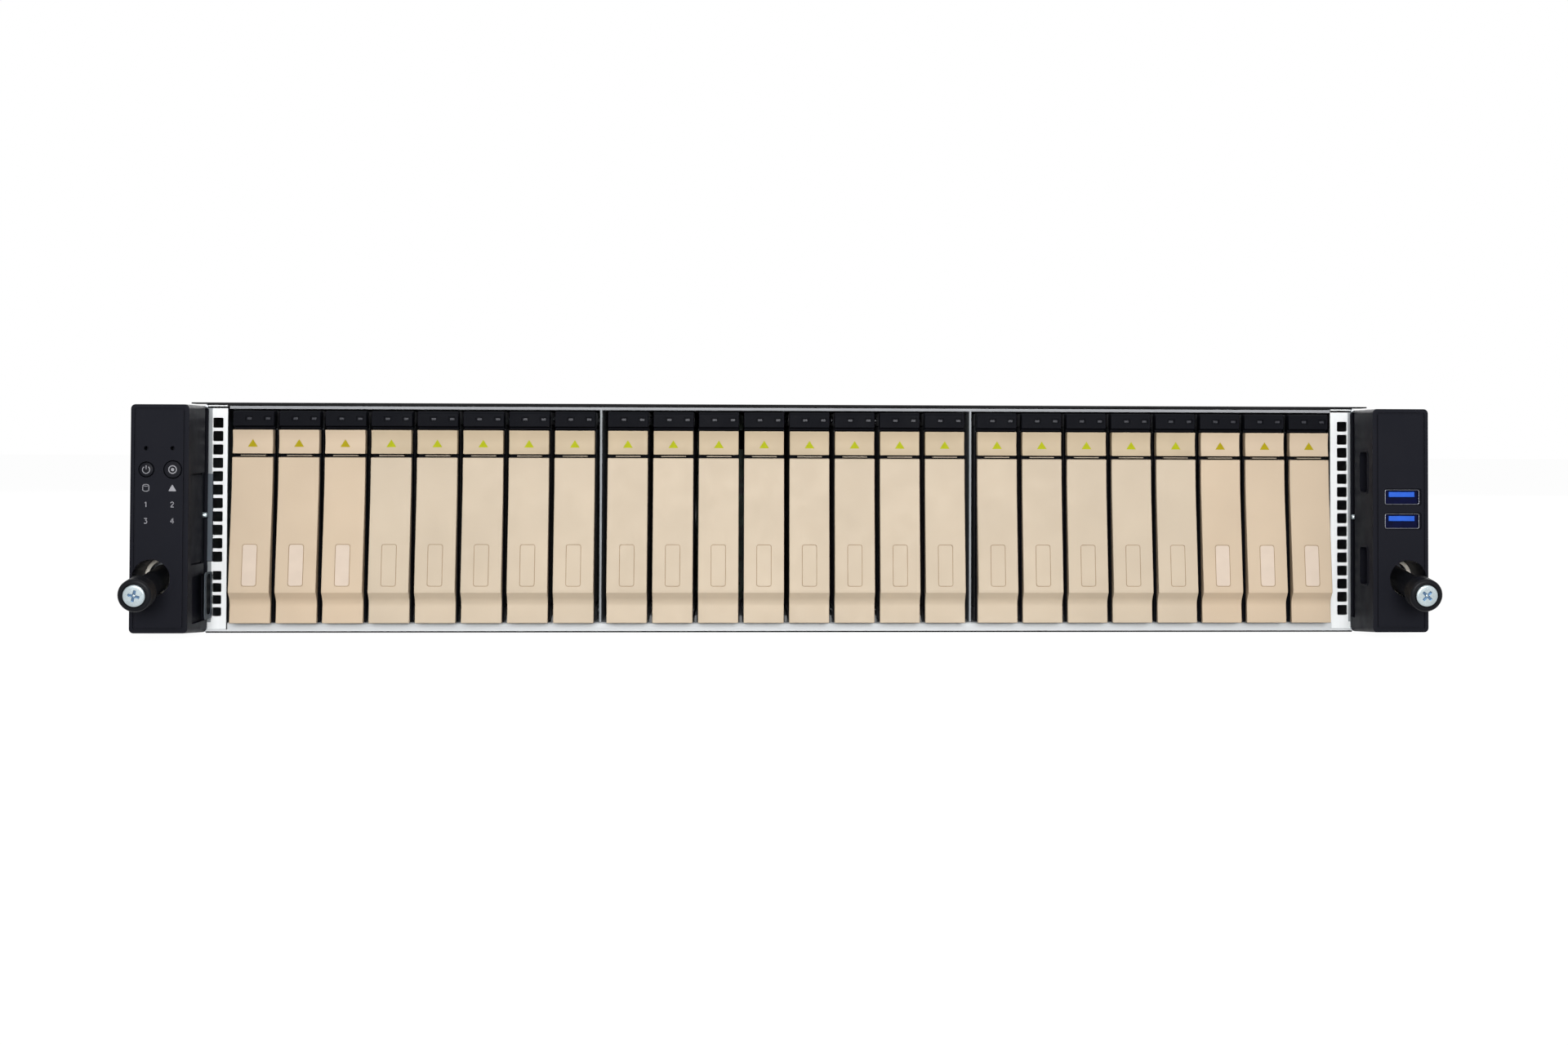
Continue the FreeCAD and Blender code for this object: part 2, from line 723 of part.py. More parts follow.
def mainboard():
    """Board cut round the power bay, on standoffs, with heat sinks and memory modules."""
    low = SHEET + STANDOFF_HEIGHT
    top = low + BOARD_SHEET
    left = -wall_inner + BOARD_SIDE
    notch_x = partition_x - BOARD_SIDE
    notch_y = psu_front - PSU_STOP - BOARD_SIDE
    board = box((left, -left), (board_front, board_rear), (low, top))
    board = board.cut(box((notch_x, wall_inner), (notch_y, board_rear), (low, top)))
    pieces = [board]
    inset = BOARD_SIDE + STANDOFF_WIDTH
    for y in (board_front + inset, (board_front + notch_y) / 2, notch_y - inset, board_rear - inset):
        for x in (left + inset, notch_x - inset):
            pieces.append(
                box(
                    (x - STANDOFF_WIDTH / 2, x + STANDOFF_WIDTH / 2),
                    (y - STANDOFF_WIDTH / 2, y + STANDOFF_WIDTH / 2),
                    (SHEET, low),
                )
            )
    sink_y = board_front + SINK_START
    memory_y = sink_y + (SINK_LENGTH - MEMORY_LENGTH) / 2
    for side in (-1, 1):
        sink_x = side * (-left) / 2
        pieces.append(heat_sink(sink_x, sink_y, top))
        for row in range(MEMORY_PER_SIDE):
            reach = SINK_WIDTH / 2 + MEMORY_CLEAR + row * MEMORY_PITCH
            for x in (sink_x - reach, sink_x + reach):
                module_x = (x - MEMORY_THICKNESS / 2, x + MEMORY_THICKNESS / 2)
                module_y = (memory_y, memory_y + MEMORY_LENGTH)
                pieces.append(box(module_x, module_y, (top, top + MEMORY_HEIGHT)))
    return pieces


def power_supply(z):
    """Power supply module between two heights: casing with inlet and fan mouth, and its handle."""
    x = (partition_x + SHEET + PSU_GAP / 2, wall_inner - PSU_GAP / 2)
    mid_z = (z[0] + z[1]) / 2
    casing = box(x, (psu_front, depth), z)
    inlet_x = (x[1] - PSU_FACE_MARGIN - INLET_WIDTH, x[1] - PSU_FACE_MARGIN)
    inlet_z = (mid_z - INLET_HEIGHT / 2, mid_z + INLET_HEIGHT / 2)
    inlet = box(inlet_x, (depth - INLET_DEPTH, depth), inlet_z)
    upper = [
        edge for edge in inlet.Edges
        if edge.BoundBox.YLength > INLET_DEPTH / 2 and edge.BoundBox.ZMin > mid_z
    ]
    casing = casing.cut(inlet.makeChamfer(INLET_CHAMFER, upper))
    fan_mid = x[0] + PSU_FACE_MARGIN + PSU_FAN_RADIUS
    mouth = Vector(fan_mid, depth, mid_z)
    casing = casing.cut(Part.makeCylinder(PSU_FAN_RADIUS, PSU_FAN_DEPTH, mouth, Vector(0, -1, 0)))
    handle_mid = (fan_mid + PSU_FAN_RADIUS + inlet_x[0]) / 2
    handle_x = (handle_mid - HANDLE_WIDTH / 2, handle_mid + HANDLE_WIDTH / 2)
    handle_z = (z[0] + HANDLE_MARGIN, z[1] - HANDLE_MARGIN)
    grip = box(handle_x, (depth, depth + HANDLE_REACH), handle_z)
    gap_z = (handle_z[0] + HANDLE_THICKNESS, handle_z[1] - HANDLE_THICKNESS)
    gap = box(handle_x, (depth, depth + HANDLE_REACH - HANDLE_THICKNESS), gap_z)
    return [casing, grip.cut(gap)]


def main():
    """Build every node."""
    save("chassis_tub", folded_tub(), *wall_fittings(), *drive_cage(), *rear_panel(), *power_bay())
    save("top_cover", *top_cover())
    save("left_ear", left_ear())
    save("right_ear", *right_ear())
    save("left_thumbscrew", thumbscrew(-1))
    save("right_thumbscrew", thumbscrew(1))
    save("power_button", ear_button(-1, -EAR_COLUMN, POWER_RADIUS))
    save("identify_button", ear_button(-1, EAR_COLUMN, IDENTIFY_RADIUS))
    save("psu_lower", *power_supply((SHEET + PSU_GAP, shelf_z - SHEET / 2 - PSU_GAP)))
    save("psu_upper", *power_supply((shelf_z + SHEET / 2 + PSU_GAP, wall_top - PSU_GAP)))
    save("mainboard", *backplane(), *mainboard())
    save("fan_wall", *fan_wall())
    carrier = [bezel(), release_button(), tray(), drive()]
    handle = lever()
    for number, x in enumerate(bay_centres(), 1):
        place = Vector(x, 0, 0)
        save("carrier_%02d" % number, *[piece.translated(place) for piece in carrier])
        save("lever_%02d" % number, handle.translated(place))


main()
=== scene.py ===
"""Rackmount server chassis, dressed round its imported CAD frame.

Sizes are in millimetres until a mesh is made, in the frame of the CAD model:
X to the right seen from the front, Y to the rear, Z up.
"""
import logging
import math
from collections.abc import Callable, Iterator, Sequence
from dataclasses import dataclass, replace
from enum import Enum
from functools import cache, partial

import bmesh
import bpy
from mathutils import Matrix, Vector


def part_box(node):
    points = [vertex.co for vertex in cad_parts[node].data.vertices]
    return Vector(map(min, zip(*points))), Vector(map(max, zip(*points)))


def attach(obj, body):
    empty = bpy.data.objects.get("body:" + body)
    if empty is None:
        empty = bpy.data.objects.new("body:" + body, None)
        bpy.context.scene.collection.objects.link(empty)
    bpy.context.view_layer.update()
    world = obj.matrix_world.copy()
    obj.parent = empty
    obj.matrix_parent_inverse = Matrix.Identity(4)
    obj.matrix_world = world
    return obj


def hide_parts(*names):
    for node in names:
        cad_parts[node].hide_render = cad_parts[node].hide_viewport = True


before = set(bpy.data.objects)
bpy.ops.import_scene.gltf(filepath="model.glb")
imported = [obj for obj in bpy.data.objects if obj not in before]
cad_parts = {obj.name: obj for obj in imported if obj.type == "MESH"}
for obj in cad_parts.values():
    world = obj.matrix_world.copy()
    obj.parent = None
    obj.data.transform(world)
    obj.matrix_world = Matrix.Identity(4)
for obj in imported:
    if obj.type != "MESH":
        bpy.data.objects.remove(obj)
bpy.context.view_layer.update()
LOG = logging.getLogger("chassis")
MM = 0.001

# Banks of upright carriers: X of their middles, bays in each, and width of a bay
BANK_MIDDLES = (-140.4, 0.0, 140.4)
BANK_BAYS = 8
BAY_PITCH = 17.2

# How far a cutter reaches past the face that it opens
PAST = 1.0

Pair = tuple[float, float]
Triple = tuple[float, float, float]
Outline = list[Pair]


class Axis(Enum):
    """Direction in which an outline is drawn out."""

    X = "x"
    Y = "y"
    Z = "z"

    def place(self, u: float, v: float, along: float) -> Vector:
        """Point of an outline at a distance along the axis."""
        spots = {Axis.X: (along, u, v), Axis.Y: (u, along, v), Axis.Z: (u, v, along)}
        return Vector(spots[self])


class Side(Enum):
    """Side of the chassis seen from the front."""

    LEFT = -1
    RIGHT = 1


class CarrierKind(Enum):
    """Look of a drive carrier: the outer ones have a label field painted pale as a sheen, and a deeper yellow
    arrow.
    """

    PLAIN = "plain"
    LABELLED = "labelled"


def linear(colour: Triple, gain: float = 1.0) -> tuple[float, float, float, float]:
    """Linear colour of one that is written in steps of 0 to 255.

    Args:
        colour: red, green and blue from 0 to 255.
        gain: factor on the linear values.

    Returns:
        Red, green, blue and alpha for a socket.
    """
    parts = []
    for step in colour:
        value = step / 255
        part = value / 12.92 if value <= 0.04045 else ((value + 0.055) / 1.055) ** 2.4
        parts.append(min(part * gain, 1.0))
    return (*parts, 1.0)


class Graph:
    """Nodes of one material round its Principled shader.

    CORE is the part of a pattern's range that spread() stretches, RELIEF the strength of a fine relief,
    and MIX_COLOURS and MIX_RESULT are the colour sockets of Blender's mix node.
    """

    CORE = (0.3, 0.7)
    RELIEF = 0.6
    MIX_COLOURS = (6, 7)
    MIX_RESULT = 2

    def __init__(self, name: str) -> None:
        """Start a material with the shader alone.

        Args:
            name: the material's name.
        """
        self.material = bpy.data.materials.new(name)
        self.material.use_nodes = True
        self.tree = self.material.node_tree
        self.shader = self.tree.nodes["Principled BSDF"]

    def add(self, kind: str, **inputs: object) -> bpy.types.Node:
        """Add a node.

        Args:
            kind: Blender's name of the node's type.
            inputs: values or sockets for the node's inputs, by name with _ for a space.

        Returns:
            The node.
        """
        node = self.tree.nodes.new(kind)
        for key, value in inputs.items():
            self.feed(node, key.replace("_", " "), value)
        return node

    def feed(self, node: bpy.types.Node, name: str | int, value: object) -> None:
        """Set a node's input by a value, or link it where the value is a socket.

        Args:
            node: the node.
            name: name or number of its input.
            value: a value or a socket.
        """
        if isinstance(value, bpy.types.NodeSocket):
            self.tree.links.new(value, node.inputs[name])
        else:
            node.inputs[name].default_value = value

    def dress(self, **inputs: object) -> None:
        """Set inputs of the shader by name."""
        for key, value in inputs.items():
            self.feed(self.shader, key.replace("_", " "), value)

    def spot(self, stretch: Triple = (1, 1, 1)) -> bpy.types.NodeSocket:
        """Place on the piece, moved by a different step on each piece.

        Args:
            stretch: factor on each axis.

        Returns:
            A vector socket.
        """
        place = self.add("ShaderNodeTexCoord").outputs["Object"]
        step = self.add("ShaderNodeObjectInfo").outputs["Random"]
        moved = self.add("ShaderNodeVectorMath")
        for number, source in enumerate((place, step)):
            self.feed(moved, number, source)
        return self.add("ShaderNodeMapping", Vector=moved.outputs[0], Scale=stretch).outputs[0]

    def noise(self, size: float, detail: float = 2.0, stretch: Triple = (1, 1, 1)) -> bpy.types.NodeSocket:
        """Cloudy pattern.

        Args:
            size: width of its patches in mm.
            detail: octaves.
            stretch: factor on each axis.

        Returns:
            A socket from 0 to 1.
        """
        scale = 1 / (size * MM)
        node = self.add("ShaderNodeTexNoise", Vector=self.spot(stretch), Scale=scale, Detail=detail)
        return node.outputs["Fac"]

    def spread(self, value: bpy.types.NodeSocket, low: float, high: float) -> bpy.types.NodeSocket:
        """Stretch the middle of a pattern over a range.

        Args:
            value: socket from 0 to 1.
            low: result at the pattern's low end.
            high: result at its high end.

        Returns:
            A socket.
        """
        start, end = self.CORE
        node = self.add("ShaderNodeMapRange", Value=value, From_Min=start, From_Max=end)
        for name, bound in (("To Min", low), ("To Max", high)):
            self.feed(node, name, bound)
        return node.outputs[0]

    def blend(self, value: bpy.types.NodeSocket, low: object, high: object) -> bpy.types.NodeSocket:
        """Colour between two by a pattern.

        Args:
            value: socket from 0 to 1.
            low: colour or socket at 0.
            high: colour or socket at 1.

        Returns:
            A colour socket.
        """
        node = self.add("ShaderNodeMix")
        node.data_type = "RGBA"
        self.tree.links.new(value, node.inputs[0])
        for socket, colour in zip(self.MIX_COLOURS, (low, high)):
            self.feed(node, socket, colour)
        return node.outputs[self.MIX_RESULT]

    def emboss(self, height: bpy.types.NodeSocket, depth: float) -> None:
        """Give the surface a fine relief of a depth in mm."""
        bump = self.add("ShaderNodeBump", Height=height, Distance=depth * MM, Strength=self.RELIEF)
        self.dress(Normal=bump.outputs[0])


def seen(tree: bpy.types.NodeTree) -> bpy.types.NodeSocket:
    """What the camera sees directly, in gloss or through glass.

    Args:
        tree: where the nodes go.

    Returns:
        A socket that is 1 for such rays and 0 for others.
    """
    path = tree.nodes.new("ShaderNodeLightPath")
    total = path.outputs["Is Camera Ray"]
    for name in ("Is Glossy Ray", "Is Transmission Ray"):
        larger = tree.nodes.new("ShaderNodeMath")
        larger.operation = "MAXIMUM"
        tree.links.new(total, larger.inputs[0])
        tree.links.new(path.outputs[name], larger.inputs[1])
        total = larger.outputs[0]
    return total


@dataclass(frozen=True)
class Finish:
    """Moulded or painted surface: a tone that drifts, uneven gloss and a fine grain."""

    slot: str
    name: str
    colour: Triple
    roughness: float = 0.5
    metallic: float = 0.0
    specular: float = 0.5
    drift: float = 0.06
    patch: float = 30.0
    uneven: float = 0.05
    grain: float = 0.4
    relief: float = 0.03
    stretch: Triple = (1, 1, 1)

    @cache
    def material(self) -> bpy.types.Material:
        """Make the finish's material, once.

        Returns:
            The material.
        """
        graph = Graph(self.name)
        graph.dress(Metallic=self.metallic, Specular_IOR_Level=self.specular)
        self.paint(graph)
        return graph.material

    def paint(self, graph: Graph) -> None:
        """Colour, gloss and relief of the surface.

        Args:
            graph: where the nodes go.
        """
        tone = graph.spread(graph.noise(self.patch, 4, self.stretch), 0, 1)
        low, high = (linear(self.colour, 1 + step) for step in (-self.drift, self.drift))
        gloss = graph.noise(self.patch / 4, 3, self.stretch)
        graph.dress(
            Base_Color=graph.blend(tone, low, high),
            Roughness=graph.spread(gloss, self.roughness - self.uneven, self.roughness + self.uneven),
        )
        graph.emboss(graph.noise(self.grain, 2, self.stretch), self.relief)


@dataclass(frozen=True)
class RolledSheet(Finish):
    """Plated sheet metal with rolling streaks over a cloudy plating."""

    metallic: float = 1.0
    streak: Triple = (1, 0.04, 1)
    streak_width: float = 1.2

    def paint(self, graph: Graph) -> None:
        """Streaks and clouds in the colour, the gloss and the relief.

        Args:
            graph: where the nodes go.
        """
        streaks = graph.noise(self.streak_width, 3, self.streak)
        clouds = graph.noise(self.patch, 4)
        low, middle, high = (linear(self.colour, 1 + step) for step in (-self.drift, 0, self.drift))
        plating = graph.blend(graph.spread(clouds, 0, 1), low, middle)
        graph.dress(
            Base_Color=graph.blend(graph.spread(streaks, 0, 0.8), plating, high),
            Roughness=graph.spread(streaks, self.roughness - self.uneven, self.roughness + self.uneven),
        )
        graph.emboss(streaks, self.relief)


@dataclass(frozen=True)
class CircuitLaminate(Finish):
    """Lacquered board with a net of conductor tracks under the lacquer."""

    track: Triple = (42, 92, 60)
    cells: float = 130.0
    gloss_patch: float = 6.0

    def paint(self, graph: Graph) -> None:
        """Tracks from cells with flat sides, and a slight relief along them.

        Args:
            graph: where the nodes go.
        """
        cells = graph.add("ShaderNodeTexVoronoi", Vector=graph.spot(), Scale=self.cells)
        cells.distance = "CHEBYCHEV"
        cells.feature = "F2"
        lines = graph.spread(cells.outputs["Distance"], 0, 1)
        tone = graph.blend(graph.noise(self.patch), linear(self.colour, 0.8), linear(self.colour, 1.2))
        patches = graph.noise(self.gloss_patch)
        gloss = graph.spread(patches, self.roughness - self.uneven, self.roughness + self.uneven)
        graph.dress(Base_Color=graph.blend(lines, tone, linear(self.track)), Roughness=gloss)
        graph.emboss(lines, self.relief)


@dataclass(frozen=True)
class FloorWhite(Finish):
    """Matt floor that glows for the camera, so that it looks white and keeps a faint shadow."""

    pale: Triple = (246, 246, 246)
    glow: float = 1.08
    share: float = 0.9

    def paint(self, graph: Graph) -> None:
        """Mix of a matt surface and a glow.

        Args:
            graph: where the nodes go.
        """
        tone = graph.blend(graph.noise(self.patch), linear(self.colour), linear(self.pale))
        graph.dress(Base_Color=tone, Roughness=self.roughness)
        glow = graph.add("ShaderNodeEmission", Strength=self.glow)
        share = graph.add("ShaderNodeMapRange", Value=seen(graph.tree), To_Max=self.share)
        mix = graph.add("ShaderNodeMixShader")
        for socket, node in zip(mix.inputs, (share, graph.shader, glow)):
            graph.tree.links.new(node.outputs[0], socket)
        graph.tree.links.new(mix.outputs[0], graph.tree.nodes["Material Output"].inputs[0])


FLOOR = FloorWhite("floor", "floor_white", (240, 240, 240), 0.9, specular=0.0, patch=400.0)
ZINC = RolledSheet("zinc_sheet", "zinc", (186, 190, 195), 0.34, drift=0.09, uneven=0.06, relief=0.004)
STRIP = RolledSheet(
    "zinc_sheet", "strip_zinc", (247, 250, 251), 0.35, 0.0, drift=0.04, relief=0.003, streak=(1, 1, 0.05)
)
CAGE = RolledSheet(
    "zinc_sheet", "cage_zinc", (206, 209, 211), 0.5, 0.1, drift=0.05, relief=0.003, streak=(0.03, 1, 1)
)
HEADER = replace(CAGE, name="header_zinc", colour=(144, 146, 150), drift=0.06)
# Dark grey zinc that paints the left ear's shade onto the tab and the plate edge beside it
SHADED = Finish("zinc_sheet", "shaded_zinc", (84, 92, 100), 0.5, 0.1, 0.2, patch=20.0)
# Grey zinc that paints the shade on the bank dividers and on the strips' outer edges beside the ears
EDGE_SHADE = replace(SHADED, name="strip_edge", colour=(152, 157, 160))
LID = RolledSheet("cover_sheet", "lid_zinc", (158, 161, 166), 0.42, drift=0.07, uneven=0.07, relief=0.012)
# Near-black painted shade: the shadow line under the lid's front edge, and the contact shadow along the floor
# sheet's front edge
HEM_SHADE = Finish("cover_sheet", "hem_line", (20, 20, 22), 0.6, 0.0, 0.1, patch=40.0)
EAR_PLASTIC = Finish("ear_black", "ear_plastic", (22, 23, 30), 0.48, specular=0.05, relief=0.025)
KNOB_PLASTIC = Finish("screw_black", "knob_plastic", (17, 18, 22), 0.38, specular=0.1, grain=0.3)
BUTTON_PLASTIC = Finish("button_black", "button_plastic", (20, 21, 27), 0.42, specular=0.06, grain=0.3)
SCREW_STEEL = Finish(
    "screw_steel", "screw_plating", (178, 190, 194), 0.3, 1.0, drift=0.08, patch=2.0, relief=0.01
)
# Blue-grey plating, darkened as painted shade, for the floor of the head's cross recess
CROSS_SHADE_STEEL = Finish("screw_steel", "cross_plating", (84, 112, 142), 0.35, 0.6, drift=0.25, patch=0.8)
WASHER_STEEL = Finish("screw_steel", "washer_plating", (246, 238, 224), 0.45, 0.0, drift=0.1, patch=3.0)
LATCH_STEEL = Finish("carrier_body", "latch_steel", (150, 138, 122), 0.45, 0.4, patch=2.0, relief=0.008)
PRINT = Finish("marking_white", "grey_print", (150, 150, 156), 0.6, specular=0.3, patch=1.5)
SOCKET_STEEL = Finish("socket_steel", "socket_shell", (122, 124, 130), 0.3, 1.0, patch=3.0, relief=0.008)
SOCKET_BLUE = Finish("socket_blue", "socket_tongue", (31, 92, 206), 0.4, specular=0.2, patch=3.0)
# Near-black blue painted shade that fills the sockets' cavities round the tongues
SOCKET_SHADE = Finish("socket_blue", "socket_throat", (3, 8, 46), 0.5, specular=0.05, patch=2.0, drift=0.3)
CARRIER_PLASTIC = Finish("carrier_black", "carrier_plastic", (16, 17, 22), 0.5, specular=0.03, relief=0.025)
TRAY_METAL = RolledSheet("carrier_body", "tray_metal", (170, 172, 176), 0.42, relief=0.012)
GOLD = Finish(
    "lever_gold", "gold_paint", (200, 181, 157), 0.5, 0.05, 0.15, drift=0.035, patch=22.0, grain=0.25
)
GOLD_PALE = replace(GOLD, name="pale_gold_paint", colour=(196, 181, 160), drift=0.04)
GOLD_DEEP = replace(GOLD, name="deep_gold_paint", colour=(189, 172, 146), drift=0.04, patch=9.0)
# Brown painted shade on the floor of the levers' label groove
GROOVE_SHADE = Finish("lever_gold", "gold_groove", (168, 143, 116), 0.6, specular=0.2, patch=4.0)
# Label field of the outer levers: a label, painted paler as a sheen
SHEEN_FIELD = Finish("lever_gold", "label_field", (216, 199, 182), 0.5, specular=0.15, drift=0.03, patch=6.0)
YELLOW_INK = Finish("arrow_yellow", "yellow_ink", (168, 151, 0), 0.5, specular=0.1, patch=1.0)
GREEN_INK = replace(YELLOW_INK, name="lime_ink", colour=(172, 177, 8))
LAMP = Finish("lamp_clear", "lamp_window", (44, 45, 52), 0.3, specular=0.15, patch=0.6, drift=0.2)
DRIVE_CAST = Finish("drive_metal", "drive_casting", (150, 152, 156), 0.42, 1.0, patch=12.0, relief=0.02)
SUPPLY_METAL = RolledSheet("supply_case", "supply_plating", (186, 188, 190), 0.38, relief=0.012)
SUPPLY_PLASTIC = Finish("supply_black", "supply_plastic", (26, 27, 30), 0.5, specular=0.3)
BOARD = CircuitLaminate("board_green", "board_laminate", (12, 46, 28), 0.35, uneven=0.08, relief=0.03)
SINK = Finish("sink_metal", "sink_aluminium", (200, 202, 206), 0.4, 1.0, patch=8.0, stretch=(1, 0.1, 1))
FAN_PLASTIC = Finish("fan_black", "fan_plastic", (24, 25, 28), 0.5, specular=0.3)

Piece = tuple[str, bpy.types.Mesh, Finish]


def across(side: Side, near: float, far: float) -> Pair:
    """X range between two distances from mid-chassis on one side."""
    low, high = sorted((side.value * near, side.value * far))
    return low, high


def spaced(middle: float, pitch: float, count: int) -> list[float]:
    """Places a pitch apart, evenly about a middle."""
    return [middle + (index - (count - 1) / 2) * pitch for index in range(count)]


def carried(points: Sequence[Pair], centre: Pair) -> Outline:
    """Points drawn about the origin, carried to a place."""
    return [(centre[0] + u, centre[1] + v) for u, v in points]


def rectangle(centre: Pair, width: float, height: float, radius: float = 0.0, steps: int = 4) -> Outline:
    """Rectangle about a centre, its corners rounded in a number of steps."""
    corners = [(width / 2 * a, height / 2 * b, radius) for a, b in ((1, 1), (-1, 1), (-1, -1), (1, -1))]
    return carried(soften(corners, steps), centre)


def oblong(u: Pair, v: Pair, radius: float = 0.0, grow: float = 0.0) -> Outline:
    """Rectangle between two values on each axis.

    Args:
        u: its reach on the first axis.
        v: its reach on the second.
        radius: radius of its corners.
        grow: how much larger it is on each side.

    Returns:
        Its outline.
    """
    (left, right), (low, high) = u, v
    centre = ((left + right) / 2, (low + high) / 2)
    return rectangle(centre, right - left + 2 * grow, high - low + 2 * grow, radius)


def circle(centre: Pair, radius: float, steps: int = 32) -> Outline:
    """Circle about a centre, in a number of steps."""
    turns = [2 * math.pi * step / steps for step in range(steps)]
    return carried([(radius * math.cos(turn), radius * math.sin(turn)) for turn in turns], centre)


def soften(corners: Sequence[Triple], steps: int = 5) -> Outline:
    """Polygon with rounded corners.

    Args:
        corners: each corner with its radius.
        steps: steps round each rounded corner.

    Returns:
        Its outline.
    """
    points: Outline = []
    for index, (u, v, radius) in enumerate(corners):
        corner = Vector((u, v))
        if radius <= 0:
            points.append((u, v))
            continue
        before = (Vector(corners[index - 1][:2]) - corner).normalized()
        after = (Vector(corners[(index + 1) % len(corners)][:2]) - corner).normalized()
        half = before.angle(after) / 2
        middle = corner + (before + after).normalized() * (radius / math.sin(half))
        start = corner + before * (radius / math.tan(half)) - middle
        end = corner + after * (radius / math.tan(half)) - middle
        turn = start.angle_signed(end)
        for step in range(steps + 1):
            angle = -turn * step / steps
            spoke = Vector((
                start.x * math.cos(angle) - start.y * math.sin(angle),
                start.x * math.sin(angle) + start.y * math.cos(angle),
            ))
            points.append((middle.x + spoke.x, middle.y + spoke.y))
    return points


def ribbon(points: Sequence[Pair], width: float) -> Outline:
    """Stroke of even width along a line.

    Args:
        points: the line.
        width: the stroke's width.

    Returns:
        Its outline.
    """
    left, right = [], []
    for index, point in enumerate(points):
        before = Vector(points[max(index - 1, 0)])
        after = Vector(points[min(index + 1, len(points) - 1)])
        along = (after - before).normalized() * width / 2
        left.append((point[0] - along.y, point[1] + along.x))
        right.append((point[0] + along.y, point[1] - along.x))
    return left + right[::-1]


class Solid:
    """Closed mesh in millimetres, put together from drawn-out outlines and turned profiles."""

    CREASE = math.radians(35)
    SHARP = math.radians(50)

    def __init__(self) -> None:
        """Start with nothing."""
        self.bm = bmesh.new()

    def absorb(self, shape: bmesh.types.BMesh, bevel: float) -> "Solid":
        """Add a closed shape after breaking its edges.

        Args:
            shape: what to add; it is used up.
            bevel: width of the broken edges.

        Returns:
            This solid.
        """
        bmesh.ops.recalc_face_normals(shape, faces=shape.faces[:])
        if bevel > 0:
            edges = [edge for edge in shape.edges if edge.calc_face_angle(0) > self.CREASE]
            bmesh.ops.bevel(
                shape, geom=edges, offset=bevel, segments=2, profile=0.5, affect="EDGES", clamp_overlap=True
            )
        mesh = bpy.data.meshes.new("absorbed")
        shape.to_mesh(mesh)
        shape.free()
        self.bm.from_mesh(mesh)
        bpy.data.meshes.remove(mesh)
        return self

    def prism(
        self, outline: Outline, axis: Axis, span: Pair, holes: Sequence[Outline] = (), bevel: float = 0.0
    ) -> "Solid":
        """Add an outline drawn out along an axis.

        Args:
            outline: the outer edge.
            axis: the direction.
            span: where it starts and ends.
            holes: openings right through it.
            bevel: width of the broken edges.

        Returns:
            This solid.
        """
        shape = bmesh.new()
        for loop in (outline, *holes):
            corners = [shape.verts.new(axis.place(u, v, span[0])) for u, v in loop]
            if holes:
                for index, corner in enumerate(corners):
                    shape.edges.new((corners[index - 1], corner))
            else:
                shape.faces.new(corners)
        if holes:
            bmesh.ops.triangle_fill(shape, edges=shape.edges[:], use_beauty=True)
        grown = bmesh.ops.extrude_face_region(shape, geom=shape.faces[:])
        moved = [item for item in grown["geom"] if isinstance(item, bmesh.types.BMVert)]
        bmesh.ops.translate(shape, verts=moved, vec=axis.place(0, 0, span[1] - span[0]))
        return self.absorb(shape, bevel)

    def block(self, x: Pair, y: Pair, z: Pair, bevel: float = 0.0) -> "Solid":
        """Add a block between two values on each axis."""
        return self.prism(oblong(x, z), Axis.Y, y, bevel=bevel)

    def turned(self, profile: Sequence[Pair], steps: int = 32, flutes: Sequence[float] = ()) -> "Solid":
        """Add a profile turned about the line through the origin towards the front.

        Args:
            profile: distance to the front and radius of each point, with both ends on the line.
            steps: steps round.
            flutes: how far every other step of each point sinks in, for a knurl.

        Returns:
            This solid.
        """
        shape = bmesh.new()
        rings = []
        for index, (along, radius) in enumerate(profile):
            sunk = flutes[index] if flutes else 0.0
            count = 1 if radius <= 0 else steps
            ring = []
            for step in range(count):
                turn = 2 * math.pi * step / steps
                reach = radius - sunk * (step % 2)
                ring.append(shape.verts.new((reach * math.cos(turn), -along, reach * math.sin(turn))))
            rings.append(ring)
        for first, second in zip(rings, rings[1:]):
            for step in range(steps):
                after = (step + 1) % steps
                corners = [first[step % len(first)], first[after % len(first)]]
                corners += [second[after % len(second)], second[step % len(second)]]
                shape.faces.new(list(dict.fromkeys(corners)))
        return self.absorb(shape, 0.0)

    def ring(self, inner: float, outer: float, span: Pair, steps: int = 32, bevel: float = 0.0) -> "Solid":
        """Add a flat ring round the line through the origin towards the front."""
        edge, hole = (circle((0, 0), radius, steps) for radius in (outer, inner))
        return self.prism(edge, Axis.Y, (-span[1], -span[0]), [hole], bevel)

    def moved(self, *matrices: Matrix) -> "Solid":
        """Move everything so far.

        Args:
            matrices: the moves, the last one first.

        Returns:
            This solid.
        """
        for matrix in reversed(matrices):
            bmesh.ops.transform(self.bm, matrix=matrix, verts=self.bm.verts[:])
        return self

    def shifted(self, x: float = 0.0, y: float = 0.0, z: float = 0.0) -> "Solid":
        """Move everything so far by a step."""
        return self.moved(Matrix.Translation((x, y, z)))

    def join(self, other: "Solid") -> "Solid":
        """Add another solid, which is used up."""
        return self.absorb(other.bm, 0.0)

    def carve(self, tool: "Solid") -> "Solid":
        """Cut another solid out of this one.

        Args:
            tool: what to cut out.

        Returns:
            This solid.
        """
        items = []
        for solid in (self, tool):
            mesh = bpy.data.meshes.new("carved")
            solid.bm.to_mesh(mesh)
            items.append(bpy.data.objects.new("carved", mesh))
            bpy.context.scene.collection.objects.link(items[-1])
        body, cutter = items
        cut = body.modifiers.new("cut", "BOOLEAN")
        cut.object = cutter
        cut.solver = "EXACT"
        result = bpy.data.meshes.new_from_object(body.evaluated_get(bpy.context.evaluated_depsgraph_get()))
        self.bm.clear()
        self.bm.from_mesh(result)
        for mesh in (body.data, cutter.data, result):
            bpy.data.meshes.remove(mesh)
        return self

